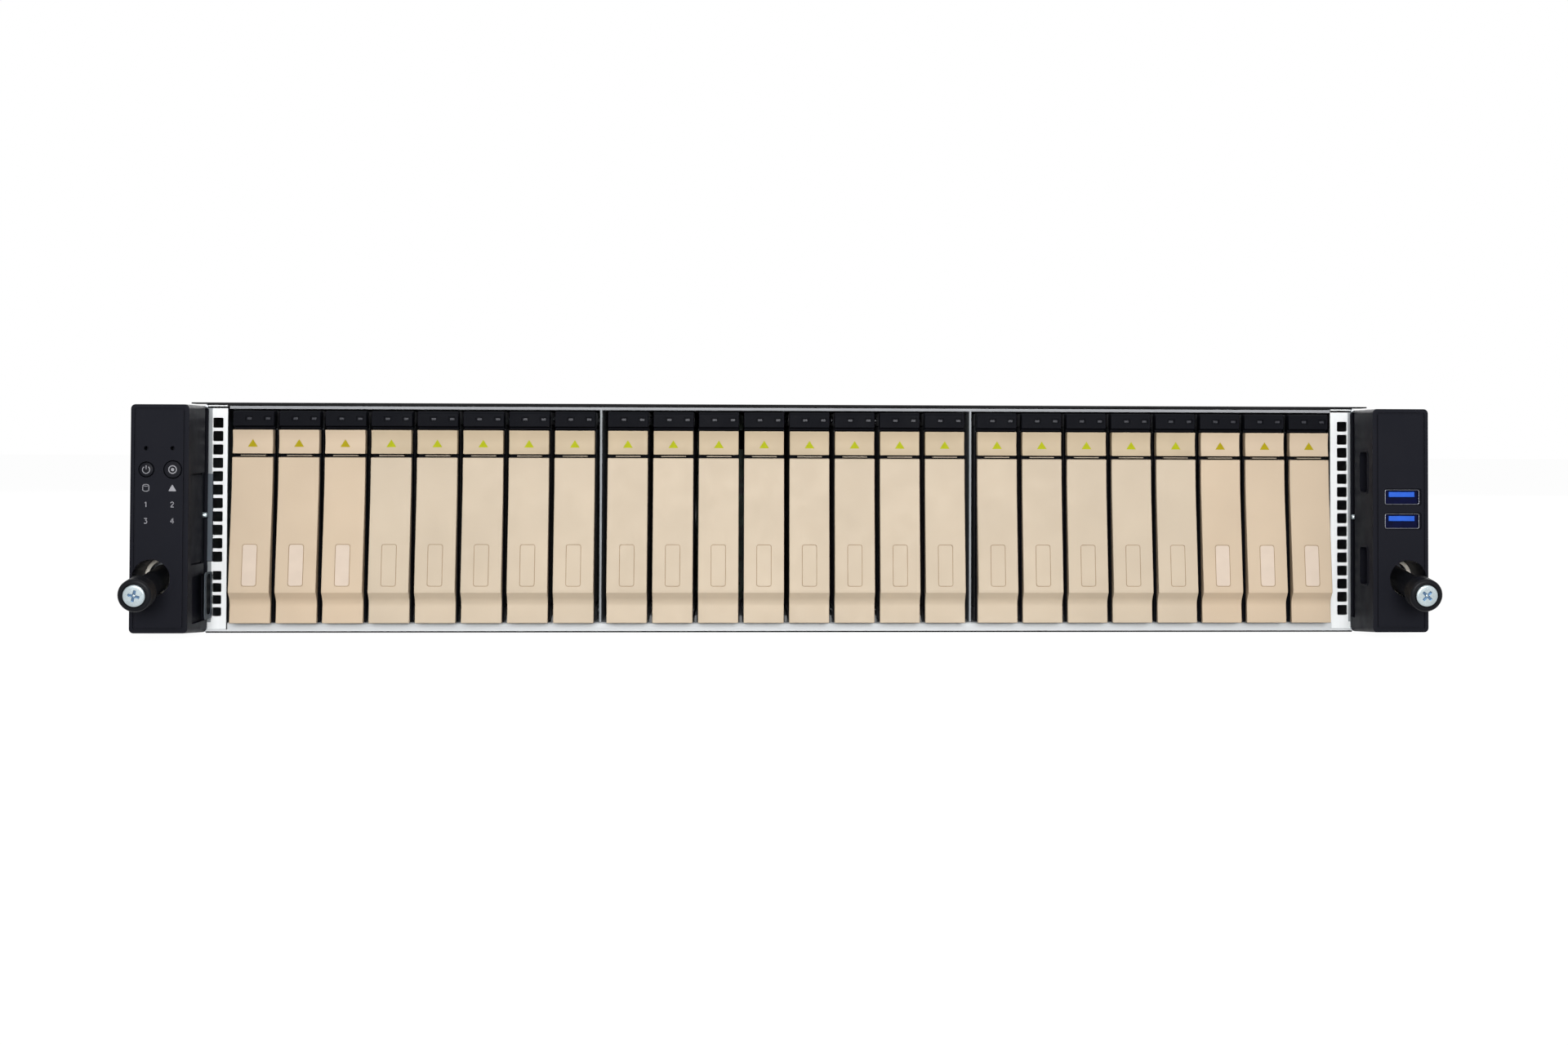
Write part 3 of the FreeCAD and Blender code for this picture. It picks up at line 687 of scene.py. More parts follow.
    def mesh(self, name: str, finish: Finish) -> bpy.types.Mesh:
        """Finished mesh in metres.

        Args:
            name: the mesh's name.
            finish: its surface.

        Returns:
            The mesh, smooth between its sharp edges.
        """
        mesh = bpy.data.meshes.new(name)
        self.bm.to_mesh(mesh)
        mesh.transform(Matrix.Scale(MM, 4))
        mesh.materials.append(finish.material())
        mesh.shade_smooth()
        mesh.set_sharp_from_angle(angle=self.SHARP)
        return mesh


Maker = tuple[str, Callable[[], Solid], Finish]


def place(
    mesh: bpy.types.Mesh,
    name: str,
    finish: Finish,
    body: str,
    nodes: Sequence[str] = (),
    at: Triple = (0, 0, 0),
) -> None:
    """Put a piece on the body that carries it.

    Args:
        mesh: its shape.
        name: its name.
        finish: its surface; not used.
        body: the CAD body that it moves with.
        nodes: CAD nodes that it stands for.
        at: where its origin goes, in mm.
    """
    piece = bpy.data.objects.new(name, mesh)
    piece.location = Vector(at) * MM
    bpy.context.scene.collection.objects.link(piece)
    piece.modifiers.new("even_shading", "WEIGHTED_NORMAL").keep_sharp = True
    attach(piece, body)
    if nodes:
        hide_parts(*nodes)
    LOG.info("%s rides on %s", name, body)


def fit(body: str, prefix: str, makes: Sequence[Maker], nodes: Sequence[str] = ()) -> None:
    """Make pieces and put them on a body.

    Args:
        body: the CAD body that they move with.
        prefix: start of their names.
        makes: end of the name, maker and finish of each piece.
        nodes: CAD nodes that the first piece stands for.
    """
    for ending, make, finish in makes:
        name = f"{prefix}_{ending}"
        place(make().mesh(name, finish), name, finish, body, nodes)
        nodes = ()


def tilted(degrees: float, axis: Axis = Axis.X) -> Matrix:
    """Turn about an axis through the origin."""
    return Matrix.Rotation(math.radians(degrees), 4, axis.name)


@dataclass
class Studio:
    """Pale floor, soft light and the camera of the photograph."""

    floor_half: float = 30000.0
    floor_z: Pair = (-20.0, -0.02)
    camera_spot: Triple = (-20.135, -859.253, 68.964)
    yaw: float = 0.048201
    pitch: float = 0.0238196
    roll: float = 0.00299029
    lens: float = 51.452
    sensor: float = 36.0
    shift: Pair = (-0.03703, -0.0791)
    clip: Pair = (0.01, 100.0)
    ambient: float = 0.1
    aim: Triple = (0.0, 0.0, 40.0)

    def build(self) -> None:
        """Set up the whole studio."""
        bpy.context.scene.view_settings.view_transform = "Standard"
        self.camera()
        self.surround()
        self.floor()
        self.lamp("key", spot=(-600, -1700, 1500), size=(2200, 1200), power=2.5)
        self.lamp("fill", spot=(1300, -1500, 700), size=(1500, 1500), power=2)
        self.lamp("front", spot=(0, -1900, 330), size=(800, 500), power=29)
        self.lamp("top", spot=(0, 300, 1900), size=(2400, 1600), power=12)
        self.lamp("rear", spot=(300, 2700, 900), size=(1800, 1200), power=24)

    def camera(self) -> None:
        """Camera at the photograph's viewing angle."""
        data = bpy.data.cameras.new("camera")
        data.lens = self.lens
        data.sensor_fit = "HORIZONTAL"
        data.sensor_width = self.sensor
        data.shift_x, data.shift_y = self.shift
        data.clip_start, data.clip_end = self.clip
        heading = Vector((math.sin(self.yaw), math.cos(self.yaw), 0))
        level = Vector((math.cos(self.yaw), -math.sin(self.yaw), 0))
        forward = math.cos(self.pitch) * heading + math.sin(self.pitch) * Vector((0, 0, 1))
        above = -math.sin(self.pitch) * heading + math.cos(self.pitch) * Vector((0, 0, 1))
        right = math.cos(self.roll) * level + math.sin(self.roll) * above
        up = math.cos(self.roll) * above - math.sin(self.roll) * level
        camera = bpy.data.objects.new("camera", data)
        turn = Matrix((right, up, -forward)).transposed().to_4x4()
        camera.matrix_world = Matrix.Translation(Vector(self.camera_spot) * MM) @ turn
        bpy.context.scene.collection.objects.link(camera)
        bpy.context.scene.camera = camera

    def surround(self) -> None:
        """White surround that lights the object more softly than it looks."""
        world = bpy.data.worlds.new("surround")
        world.use_nodes = True
        bpy.context.scene.world = world
        tree = world.node_tree
        level = tree.nodes.new("ShaderNodeMapRange")
        level.inputs["To Min"].default_value = self.ambient
        tree.links.new(seen(tree), level.inputs["Value"])
        background = tree.nodes["Background"]
        background.inputs["Color"].default_value = (1, 1, 1, 1)
        tree.links.new(level.outputs[0], background.inputs["Strength"])

    def floor(self) -> None:
        """Lay the floor just under the chassis."""
        reach = (-self.floor_half, self.floor_half)
        solid = Solid().prism(oblong(reach, reach), Axis.Z, self.floor_z)
        floor = bpy.data.objects.new("floor", solid.mesh("floor", FLOOR))
        bpy.context.scene.collection.objects.link(floor)

    def lamp(self, name: str, spot: Triple, size: Pair, power: float) -> None:
        """Hang a soft lamp that faces the middle of the front.

        Args:
            name: its name.
            spot: where it hangs, in mm.
            size: its width and height in mm.
            power: its power in watts.
        """
        data = bpy.data.lights.new(name, "AREA")
        data.shape = "RECTANGLE"
        data.size, data.size_y = (length * MM for length in size)
        data.energy = power
        lamp = bpy.data.objects.new(name, data)
        lamp.location = Vector(spot) * MM
        aim = Vector(self.aim) * MM - lamp.location
        lamp.rotation_euler = aim.to_track_quat("-Z", "Y").to_euler()
        bpy.context.scene.collection.objects.link(lamp)


@dataclass
class DriveCarrier:
    """Carrier of one drive: black front with two lamps, gold button, tray and drive."""

    half: float = 7.6
    bottom: float = 4.2
    top: float = 83.85
    plate: float = 3.0
    head_bottom: float = 77.0
    head_front: float = -6.6
    undercut: Pair = (2.4, 0.9)
    brow: float = 0.8
    lamp_columns: Pair = (-1.6, 5.3)
    lamp_z: float = 80.9
    lamp_size: Pair = (2.9, 1.9)
    lamp_depth: float = 0.7
    window_size: Pair = (1.7, 0.9)
    window_depth: Pair = (0.3, 1.0)
    lug_x: Pair = (3.65, 6.05)
    lug_reach: Pair = (1.5, 2.4)
    pivot: Pair = (-5.1, 9.6)
    pin: Pair = (1.1, 0.4)
    button_half: float = 7.5
    button_z: Pair = (67.7, 76.7)
    button_steps: int = 12
    face: float = -8.0
    dish: float = 0.7
    tongue_x: Pair = (-4.6, 4.8)
    tongue_drop: Pair = (0.85, 0.5)
    tongue_setback: float = 1.0
    arrow_z: Pair = (70.25, 73.1)
    arrow_width: float = 3.7
    arrow_depth: Pair = (-0.05, 0.45)
    tail: float = 104.7
    slot_size: Pair = (16.0, 2.2)
    slot_y: Triple = (20.0, 52.0, 84.0)
    screw_y: Pair = (36.0, 68.0)
    screw: Pair = (1.5, 0.15)
    drive_y: Pair = (2.5, 102.7)
    drive_z: Pair = (9.1, 78.95)
    drive_half: float = 7.3
    lid: float = 0.6
    lid_margin: float = 1.5
    hub_y: float = 64.5
    hub_radii: Pair = (13.0, 10.0)
    plug_x: Pair = (-3.2, 3.0)
    plug_half: float = 18.0
    plug_depth: float = 3.0

    def front(self) -> Solid:
        """Plate, head with its lamp recesses, and the lugs beside the lever's knuckle.

        Returns:
            The black front.
        """
        front, low, top = self.head_front, self.head_bottom, self.top
        notch, step = front + self.undercut[0], low + self.undercut[1]
        head = [
            (-self.plate, low, 0), (notch, low, 0), (notch, step, 0.3), (front, step + 0.2, 0.3),
            (front, top - self.brow, 0.5), (front + self.brow, top, 0.5), (0, top, 0), (0, low, 0),
        ]
        solid = Solid().prism(soften(head, 3), Axis.X, (-self.half, self.half), bevel=0.25)
        for x in self.lamp_columns:
            recess = rectangle((x, self.lamp_z), *self.lamp_size, 0.35)
            solid.carve(Solid().prism(recess, Axis.Y, (front - PAST, front + self.lamp_depth)))
        solid.block((-self.half, self.half), (-self.plate, 0), (self.bottom, low), bevel=0.3)
        y, z = self.pivot
        reach, rise = self.lug_reach
        root, tip = 0.3 - self.plate, y - reach
        nose = [(root, z - rise, 0), (root, z + rise, 0), (tip, z + rise, 1.4), (tip, z - rise, 1.4)]
        for side in Side:
            solid.prism(soften(nose, 4), Axis.X, across(side, *self.lug_x), bevel=0.15)
        return solid

    def windows(self) -> Solid:
        """Lamp windows at the bottom of their recesses.

        Returns:
            The two windows.
        """
        solid = Solid()
        near, far = (self.head_front + depth for depth in self.window_depth)
        for x in self.lamp_columns:
            pane = rectangle((x, self.lamp_z), *self.window_size, 0.2)
            solid.prism(pane, Axis.Y, (near, far), bevel=0.08)
        return solid

    def sag(self, z: float) -> float:
        """Depth of the button's dish at a height."""
        low, high = self.button_z
        return self.dish * (1 - ((2 * z - low - high) / (high - low)) ** 2)

    def button(self) -> Solid:
        """Dished button that holds the lever's top edge.

        Returns:
            The button.
        """
        low, high = self.button_z
        steps = self.button_steps
        levels = [low + (high - low) * step / steps for step in range(steps + 1)]
        outline = [(self.face + self.sag(z), z) for z in levels]
        outline += [(-self.plate, high), (-self.plate, low)]
        return Solid().prism(outline, Axis.X, (-self.button_half, self.button_half), bevel=0.3)

    def latch(self) -> Solid:
        """Steel tongue between the button and the lever, and the heads of the lever's pin.

        Returns:
            The steel pieces.
        """
        bottom, top = (self.button_z[0] - drop for drop in self.tongue_drop)
        y = (self.face + self.tongue_setback, -self.plate)
        solid = Solid().block(self.tongue_x, y, (bottom, top), bevel=0.1)
        radius, height = self.pin
        reach = self.lug_x[1]
        for side in Side:
            head = across(side, reach, reach + height)
            solid.prism(circle(self.pivot, radius, 16), Axis.X, head, bevel=0.12)
        return solid

    def arrow(self) -> Solid:
        """Printed arrow on the button.

        Returns:
            The arrow, in front of the dish.
        """
        low, high = self.arrow_z
        half = self.arrow_width / 2
        near, far = (self.face + self.sag(low) + depth for depth in self.arrow_depth)
        return Solid().prism([(-half, low), (half, low), (0, high)], Axis.Y, (near, far))

    def tray(self) -> Solid:
        """Metal frame above and below the drive, with slots and its screws.

        Returns:
            The tray.
        """
        front, (low, high) = self.drive_y[0], self.drive_z
        outline = [
            (0, self.bottom), (self.tail, self.bottom), (self.tail, low), (front, low),
            (front, high), (self.tail, high), (self.tail, self.top), (0, self.top),
        ]
        rails = ((self.bottom + low) / 2, (self.top + high) / 2)
        slots = [rectangle((y, z), *self.slot_size, 1.0) for z in rails for y in self.slot_y]
        solid = Solid().prism(outline, Axis.X, (-self.half, self.half), slots, bevel=0.25)
        radius, proud = self.screw
        reach = self.half + proud
        for y in self.screw_y:
            for z in rails:
                solid.prism(circle((y, z), radius, 16), Axis.X, (-reach, reach), bevel=0.12)
        return solid

    def drive(self) -> Solid:
        """Cast drive body with a lid plate on one face, its hub mark and its plug.

        Returns:
            The drive.
        """
        half, middle, back = self.drive_half, sum(self.drive_z) / 2, self.drive_y[1]
        solid = Solid().block((-half, half - self.lid), self.drive_y, self.drive_z, bevel=0.6)
        plate = oblong(self.drive_y, self.drive_z, 4.0, -self.lid_margin)
        solid.prism(plate, Axis.X, (half - self.lid - 0.1, half), bevel=0.25)
        mark, core = (circle((self.hub_y, middle), radius, 40) for radius in self.hub_radii)
        solid.carve(Solid().prism(mark, Axis.X, (half - 0.3, half + PAST)))
        solid.join(Solid().prism(core, Axis.X, (half - 0.5, half - 0.05), bevel=0.1))
        plug_z = (middle - self.plug_half, middle + self.plug_half)
        return solid.carve(Solid().block(self.plug_x, (back - self.plug_depth, back + PAST), plug_z))

    def build(self, kind: CarrierKind) -> list[Piece]:
        """Make the meshes that all carriers of a kind share.

        Args:
            kind: the carrier's look.

        Returns:
            Name, mesh and finish of each piece.
        """
        labelled = kind is CarrierKind.LABELLED
        makes = (
            ("front", self.front, CARRIER_PLASTIC), ("button", self.button, GOLD if labelled else GOLD_DEEP),
            ("latch", self.latch, LATCH_STEEL), ("windows", self.windows, LAMP),
            ("arrow", self.arrow, YELLOW_INK if labelled else GREEN_INK), ("tray", self.tray, TRAY_METAL),
            ("drive", self.drive, DRIVE_CAST),
        )
        return [(name, make().mesh("carrier_" + name, finish), finish) for name, make, finish in makes]


@dataclass
class EjectorLever:
    """Gold lever whose face leans out to a ridge above a cove, with a label field."""

    half: float = 7.6
    top: float = 66.4
    bend: Triple = (-8.0, 57.0, 120.0)
    ridge: Pair = (-13.3, 16.7)
    ridge_low: float = 15.8
    throat: Triple = (-10.0, 12.4, 4.0)
    foot: Triple = (-10.9, -8.3, 4.2)
    back: Triple = (-5.6, 57.0, 60.0)
    heel: float = 2.0
    pivot: Triple = (-5.1, 9.6, 1.8)
    knuckle: float = 3.5
    knuckle_root: float = 1.4
    label_size: Pair = (5.7, 15.9)
    label_z: float = 26.0
    groove: Pair = (0.24, 0.22)
    line_y: Pair = (0.04, 0.32)
    line_room: float = 0.02
    pad_y: Pair = (-0.05, 0.3)
    pad_room: float = 0.05

    def plate(self) -> Solid:
        """Bent plate of the lever with its knuckle.

        Returns:
            The lever without its label's groove.
        """
        front, back, bottom = self.foot
        outline = [
            (self.bend[0], self.top, 0.5), self.bend, (*self.ridge, 0.3),
            (self.ridge[0], self.ridge_low, 0.3), self.throat, (front, bottom, 0.4), (back, bottom, 0.3),
            (back, self.ridge_low, self.heel), self.back, (self.back[0], self.top, 0.3),
        ]
        solid = Solid().prism(soften(outline, 6), Axis.X, (-self.half, self.half), bevel=0.3)
        y, z, radius = self.pivot
        root, rise = back - 0.3, self.knuckle_root
        knuckle = [
            (root, z - rise, 0), (y, z - radius, 1.2), (y + radius, z, 1.4), (y, z + radius, 1.2),
            (root, z + rise, 0),
        ]
        return solid.prism(soften(knuckle, 4), Axis.X, (-self.knuckle, self.knuckle), bevel=0.2)

    def on_slope(self, solid: Solid) -> Solid:
        """Put a solid on the leaning face.

        Args:
            solid: what to move, drawn about the origin and facing the front.

        Returns:
            The solid at the label's place.
        """
        (y0, z0, _), (y1, z1) = self.bend, self.ridge
        lean = math.degrees(math.atan2(y1 - y0, z1 - z0)) + 180
        y = y0 + (y1 - y0) * (self.label_z - z0) / (z1 - z0)
        return solid.moved(Matrix.Translation((0, y, self.label_z)), tilted(-lean))

    def field(self, grow: float, span: Pair, hole: float | None = None) -> Solid:
        """Label outline drawn out on the lever's face.

        Args:
            grow: how much larger than the label on each side.
            span: where it starts and ends, towards the rear.
            hole: how much larger its opening is, if it has one.

        Returns:
            The solid, on the lever's face.
        """
        width, height = self.label_size
        outline = rectangle((0, 0), width + 2 * grow, height + 2 * grow, 0.9)
        inner = [] if hole is None else [rectangle((0, 0), width + 2 * hole, height + 2 * hole, 0.7)]
        return self.on_slope(Solid().prism(outline, Axis.Y, span, inner))

    def build(self, kind: CarrierKind) -> list[Piece]:
        """Make the meshes that all levers of a kind share.

        Args:
            kind: the carrier's look.

        Returns:
            Name, mesh and finish of each piece.
        """
        width, depth = self.groove
        labelled = kind is CarrierKind.LABELLED
        plate = self.plate().carve(self.field(0, (-PAST, depth), -width))
        # Dark ring on the groove's floor: painted shade of the groove
        line = self.field(-self.line_room, self.line_y, self.line_room - width)
        parts = [("plate", plate, GOLD if labelled else GOLD_PALE), ("line", line, GROOVE_SHADE)]
        # Outer levers: a label field painted paler as a sheen
        if labelled:
            parts.append(("field", self.field(-width - self.pad_room, self.pad_y), SHEEN_FIELD))
        return [(name, solid.mesh("lever_" + name, finish), finish) for name, solid, finish in parts]


@dataclass
class DriveBank:
    """All carriers and levers, each on its own body."""

    count: int = 24
    labelled: int = 3

    def kind(self, number: int) -> CarrierKind:
        """Look of the carrier with a number from 1."""
        outer = number <= self.labelled or number > self.count - self.labelled
        return CarrierKind.LABELLED if outer else CarrierKind.PLAIN

    def dress(self) -> None:
        """Put every carrier and lever in its bay."""
        carriers = {kind: DriveCarrier().build(kind) for kind in CarrierKind}
        levers = {kind: EjectorLever().build(kind) for kind in CarrierKind}
        for number in range(1, self.count + 1):
            for family, made in (("carrier", carriers), ("lever", levers)):
                body = f"{family}_{number:02d}"
                low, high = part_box(body)
                middle = (low.x + high.x) / 2 / MM
                nodes = [body]
                for name, mesh, finish in made[self.kind(number)]:
                    place(mesh, f"{body}_{name}", finish, body, nodes, (middle, 0, 0))
                    nodes = []


@dataclass
class RackEar:
    """Moulded ear in front of a rack flange, with the recess of its thumbscrew."""

    side: Side
    inner: float = 218.5
    outer: float = 239.5
    front: float = -31.6
    back: float = -1.5
    bottom: float = 2.2
    top: float = 85.6
    corner: float = 1.6
    foot_fall: float = 2.0
    rim: Triple = (1.3, 0.7, 0.6)
    screw: Pair = (231.9, 22.1)
    recess: float = 6.9
    groove_y: Pair = (-7.2, -1.8)
    groove_z: Pair = (6.0, 84.6)
    groove_depth: float = 1.2
    washer_size: Pair = (5.5, 0.6)
    washer_depth: float = 19.0
    rivet_spot: Pair = (-4.2, 44.5)
    rivet_profile: Sequence[Pair] = ((-1.4, 0), (-1.4, 1.1), (0.2, 1.0), (0.5, 0.6), (0.6, 0))

    def face(self, inset: float, radius: float) -> Outline:
        """Outline of the front, inset all round."""
        return oblong(across(self.side, self.inner, self.outer), (self.bottom, self.top), radius, -inset)

    def pocket(self, y: Pair, z: Pair, depth: float, radius: float) -> Solid:
        """Cutter for a pocket in the wall that faces the bays."""
        reach = across(self.side, self.inner - PAST, self.inner + depth)
        return Solid().prism(oblong(y, z, radius), Axis.X, reach)

    def shell(self) -> Solid:
        """Ear with its rim groove, screw recess and the groove along the rear of its inner wall.

        Returns:
            The ear, on a foot that falls to the rear.
        """
        inset, width, depth = self.rim
        hole = circle((self.side.value * self.screw[0], self.screw[1]), self.recess, 48)
        outline = self.face(0, self.corner)
        solid = Solid().prism(outline, Axis.Y, (self.front, self.back), [hole], bevel=0.35)
        edge, island = self.face(inset, 0.8), self.face(inset + width, 0.5)
        solid.carve(Solid().prism(edge, Axis.Y, (self.front - PAST, self.front + depth), [island]))
        solid.carve(self.pocket(self.groove_y, self.groove_z, self.groove_depth, 0.4))
        for vertex in solid.bm.verts:
            if vertex.co.z < self.bottom + 2 * self.corner:
                vertex.co.z -= self.foot_fall * (vertex.co.y - self.front) / (self.back - self.front)
        return solid

    def washer(self) -> Solid:
        """Plated washer deep in the screw's recess, round its sleeve.

        Returns:
            The washer.
        """
        inner, thickness = self.washer_size
        solid = Solid().ring(inner, self.recess - 0.05, (-thickness, 0.0), 40, bevel=0.1)
        return solid.shifted(self.side.value * self.screw[0], self.front + self.washer_depth, self.screw[1])

    def rivet(self) -> Solid:
        """Bright rivet on the wall that faces the bays."""
        spot = Matrix.Translation((self.side.value * self.inner, *self.rivet_spot))
        return Solid().turned(self.rivet_profile, 16).moved(spot, tilted(-90 * self.side.value, Axis.Z))

    def dress(self) -> None:
        """Put the ear on the chassis."""
        name = f"{self.side.name.lower()}_ear"
        makes = (
            ("shell", self.shell, EAR_PLASTIC), ("washer", self.washer, WASHER_STEEL),
            ("rivet", self.rivet, SCREW_STEEL),
        )
        fit("chassis", name, makes, [name])


NUMERALS: dict[int, Outline] = {
    1: [(-0.35, 0.55), (0.1, 0.95), (0.1, -0.95)],
    2: [(-0.55, 0.5), (-0.3, 0.9), (0.3, 0.9), (0.55, 0.45), (-0.55, -0.9), (0.6, -0.9)],
    3: [(-0.55, 0.9), (0.5, 0.9), (-0.05, 0.2), (0.45, 0.0), (0.5, -0.6), (0.1, -0.92), (-0.55, -0.8)],
    4: [(0.3, -0.95), (0.3, 0.95), (-0.6, -0.35), (0.7, -0.35)],
}


@dataclass
class ControlEar(RackEar):
    """Left ear with two buttons, two pin holes and the lamp marks."""

    columns: Pair = (-233.75, -224.25)
    button_z: float = 61.8
    button_radii: Pair = (2.6, 3.1)
    button_front: float = -31.9
    button_depth: float = 5.0
    button_edge: float = 0.3
    seat_room: float = 0.3
    seat_depth: float = 6.0
    pin_z: float = 69.55
    pin_shift: float = -0.15
    pin_radius: float = 0.8
    pin_depth: float = 4.0
    panel_y: Pair = (-26.6, -6.5)
    panel_z: Pair = (27.0, 60.0)
    panel_inset: float = 0.6
    joint: Pair = (0.35, 1.6)
    recess_y: Pair = (-25.0, -3.5)
    recess_z: Pair = (5.0, 22.5)
    recess_depth: float = 1.6
    mark_shift: float = -0.1
    symbol_z: float = 55.1
    drum: Sequence[Pair] = ((-1.1, 0.9), (-1.1, -0.9), (-0.5, -1.2), (0.5, -1.2), (1.1, -0.9), (1.1, 0.9))
    drum_line: float = 0.24
    drum_top: float = 0.95
    drum_lid: Sequence[Pair] = ((1.15, 0.42), (0.9, 0.22))
    triangle: Sequence[Triple] = ((-1.45, -1.2, 0.2), (1.45, -1.2, 0.2), (0.0, 1.3, 0.2))
    numeral_z: Pair = (49.05, 43.1)
    numeral_line: float = 0.28
    power_ring: Pair = (1.3, 35.0)
    power_drop: float = 0.1
    power_stroke: Pair = (0.1, 1.5)
    power_line: float = 0.27
    identify_ring: Pair = (1.55, 1.2)
    identify_dot: float = 0.6
    ink: Pair = (-0.05, 0.3)

    def shell(self) -> Solid:
        """Ear with an inner panel, the seats of its buttons, pin holes and a low recess beside the tab.

        Returns:
            The ear.
        """
        solid = super().shell().carve(self.pocket(self.panel_y, self.panel_z, self.panel_inset, 0.3))
        half, depth = self.joint
        for z in self.panel_z:
            solid.carve(self.pocket(self.panel_y, (z - half, z + half), depth, 0.2))
        start = self.front - PAST
        for x, radius in zip(self.columns, self.button_radii):
            seat = circle((x, self.button_z), radius + self.seat_room, 32)
            solid.carve(Solid().prism(seat, Axis.Y, (start, self.front + self.seat_depth)))
            pin = circle((x + self.pin_shift, self.pin_z), self.pin_radius, 20)
            solid.carve(Solid().prism(pin, Axis.Y, (start, self.front + self.pin_depth)))
        return solid.carve(self.pocket(self.recess_y, self.recess_z, self.recess_depth, 0.8))

    def printed(self, outline: Outline, holes: Sequence[Outline] = (), front: float | None = None) -> Solid:
        """Mark printed on the ear, or on a front further out."""
        near, far = ((self.front if front is None else front) + depth for depth in self.ink)
        return Solid().prism(outline, Axis.Y, (near, far), holes)

    def numeral(self, figure: int, centre: Pair) -> Solid:
        """Figure drawn in strokes.

        Args:
            figure: the number, from 1 to 4.
            centre: its middle.

        Returns:
            The printed figure.
        """
        solid = Solid()
        line = carried(NUMERALS[figure], centre)
        for stroke in zip(line, line[1:]):
            solid.join(self.printed(ribbon(stroke, self.numeral_line)))
        return solid

    def marks(self) -> Solid:
        """Printed marks beside the lamps: a drum, a plain triangle and four numbers.

        Returns:
            All the marks.
        """
        left, right = ((x + self.mark_shift, self.symbol_z) for x in self.columns)
        solid = self.printed(ribbon(carried(self.drum, left), self.drum_line))
        top, unit = (left[0], left[1] + self.drum_top), circle((0, 0), 1, 20)
        lid, opening = (
            carried([(wide * u, high * v) for u, v in unit], top) for wide, high in self.drum_lid
        )
        solid.join(self.printed(lid, [opening]))
        solid.join(self.printed(carried(soften(self.triangle, 3), right)))
        for row, level in enumerate(self.numeral_z):
            for column, spot in enumerate((left, right)):
                solid.join(self.numeral(1 + 2 * row + column, (spot[0], level)))
        return solid

    def button(self, x: float, radius: float) -> Solid:
        """Round button with a soft edge.

        Args:
            x: where its middle is.
            radius: its radius.

        Returns:
            The button.
        """
        depth, edge = self.button_depth, self.button_edge
        profile = [
            (-depth, 0), (-depth, radius), (-edge, radius), (-0.08, radius - 0.1), (0, radius - edge), (0, 0),
        ]
        return Solid().turned(profile, 40).shifted(x, self.button_front, self.button_z)

    def power_symbol(self) -> Solid:
        """Broken ring and stroke on the power button.

        Returns:
            The printed sign.
        """
        x, z = self.columns[0], self.button_z
        radius, gap = self.power_ring
        turns = [math.radians(90 + gap + (360 - 2 * gap) * step / 24) for step in range(25)]
        arc = [(radius * math.cos(turn), radius * math.sin(turn)) for turn in turns]
        stroke = [(x, z + level) for level in self.power_stroke]
        solid = Solid()
        for line in (carried(arc, (x, z - self.power_drop)), stroke):
            solid.join(self.printed(ribbon(line, self.power_line), (), self.button_front))
        return solid

    def identify_symbol(self) -> Solid:
        """Ring and dot on the identify button.

        Returns:
            The printed sign.
        """
        centre = (self.columns[1], self.button_z)
        outer, inner = (circle(centre, radius, 32) for radius in self.identify_ring)
        dot = circle(centre, self.identify_dot, 24)
        solid = self.printed(outer, [inner], self.button_front)
        return solid.join(self.printed(dot, (), self.button_front))

    def dress(self) -> None:
        """Put the ear, its marks and its buttons in place."""
        super().dress()
        fit("chassis", "left_ear", (("marks", self.marks, PRINT),))
        symbols = {"power_button": self.power_symbol, "identify_button": self.identify_symbol}
        for (body, symbol), x, radius in zip(symbols.items(), self.columns, self.button_radii):
            cap = partial(self.button, x, radius)
            fit(body, body, (("cap", cap, BUTTON_PLASTIC), ("symbol", symbol, PRINT)), [body])


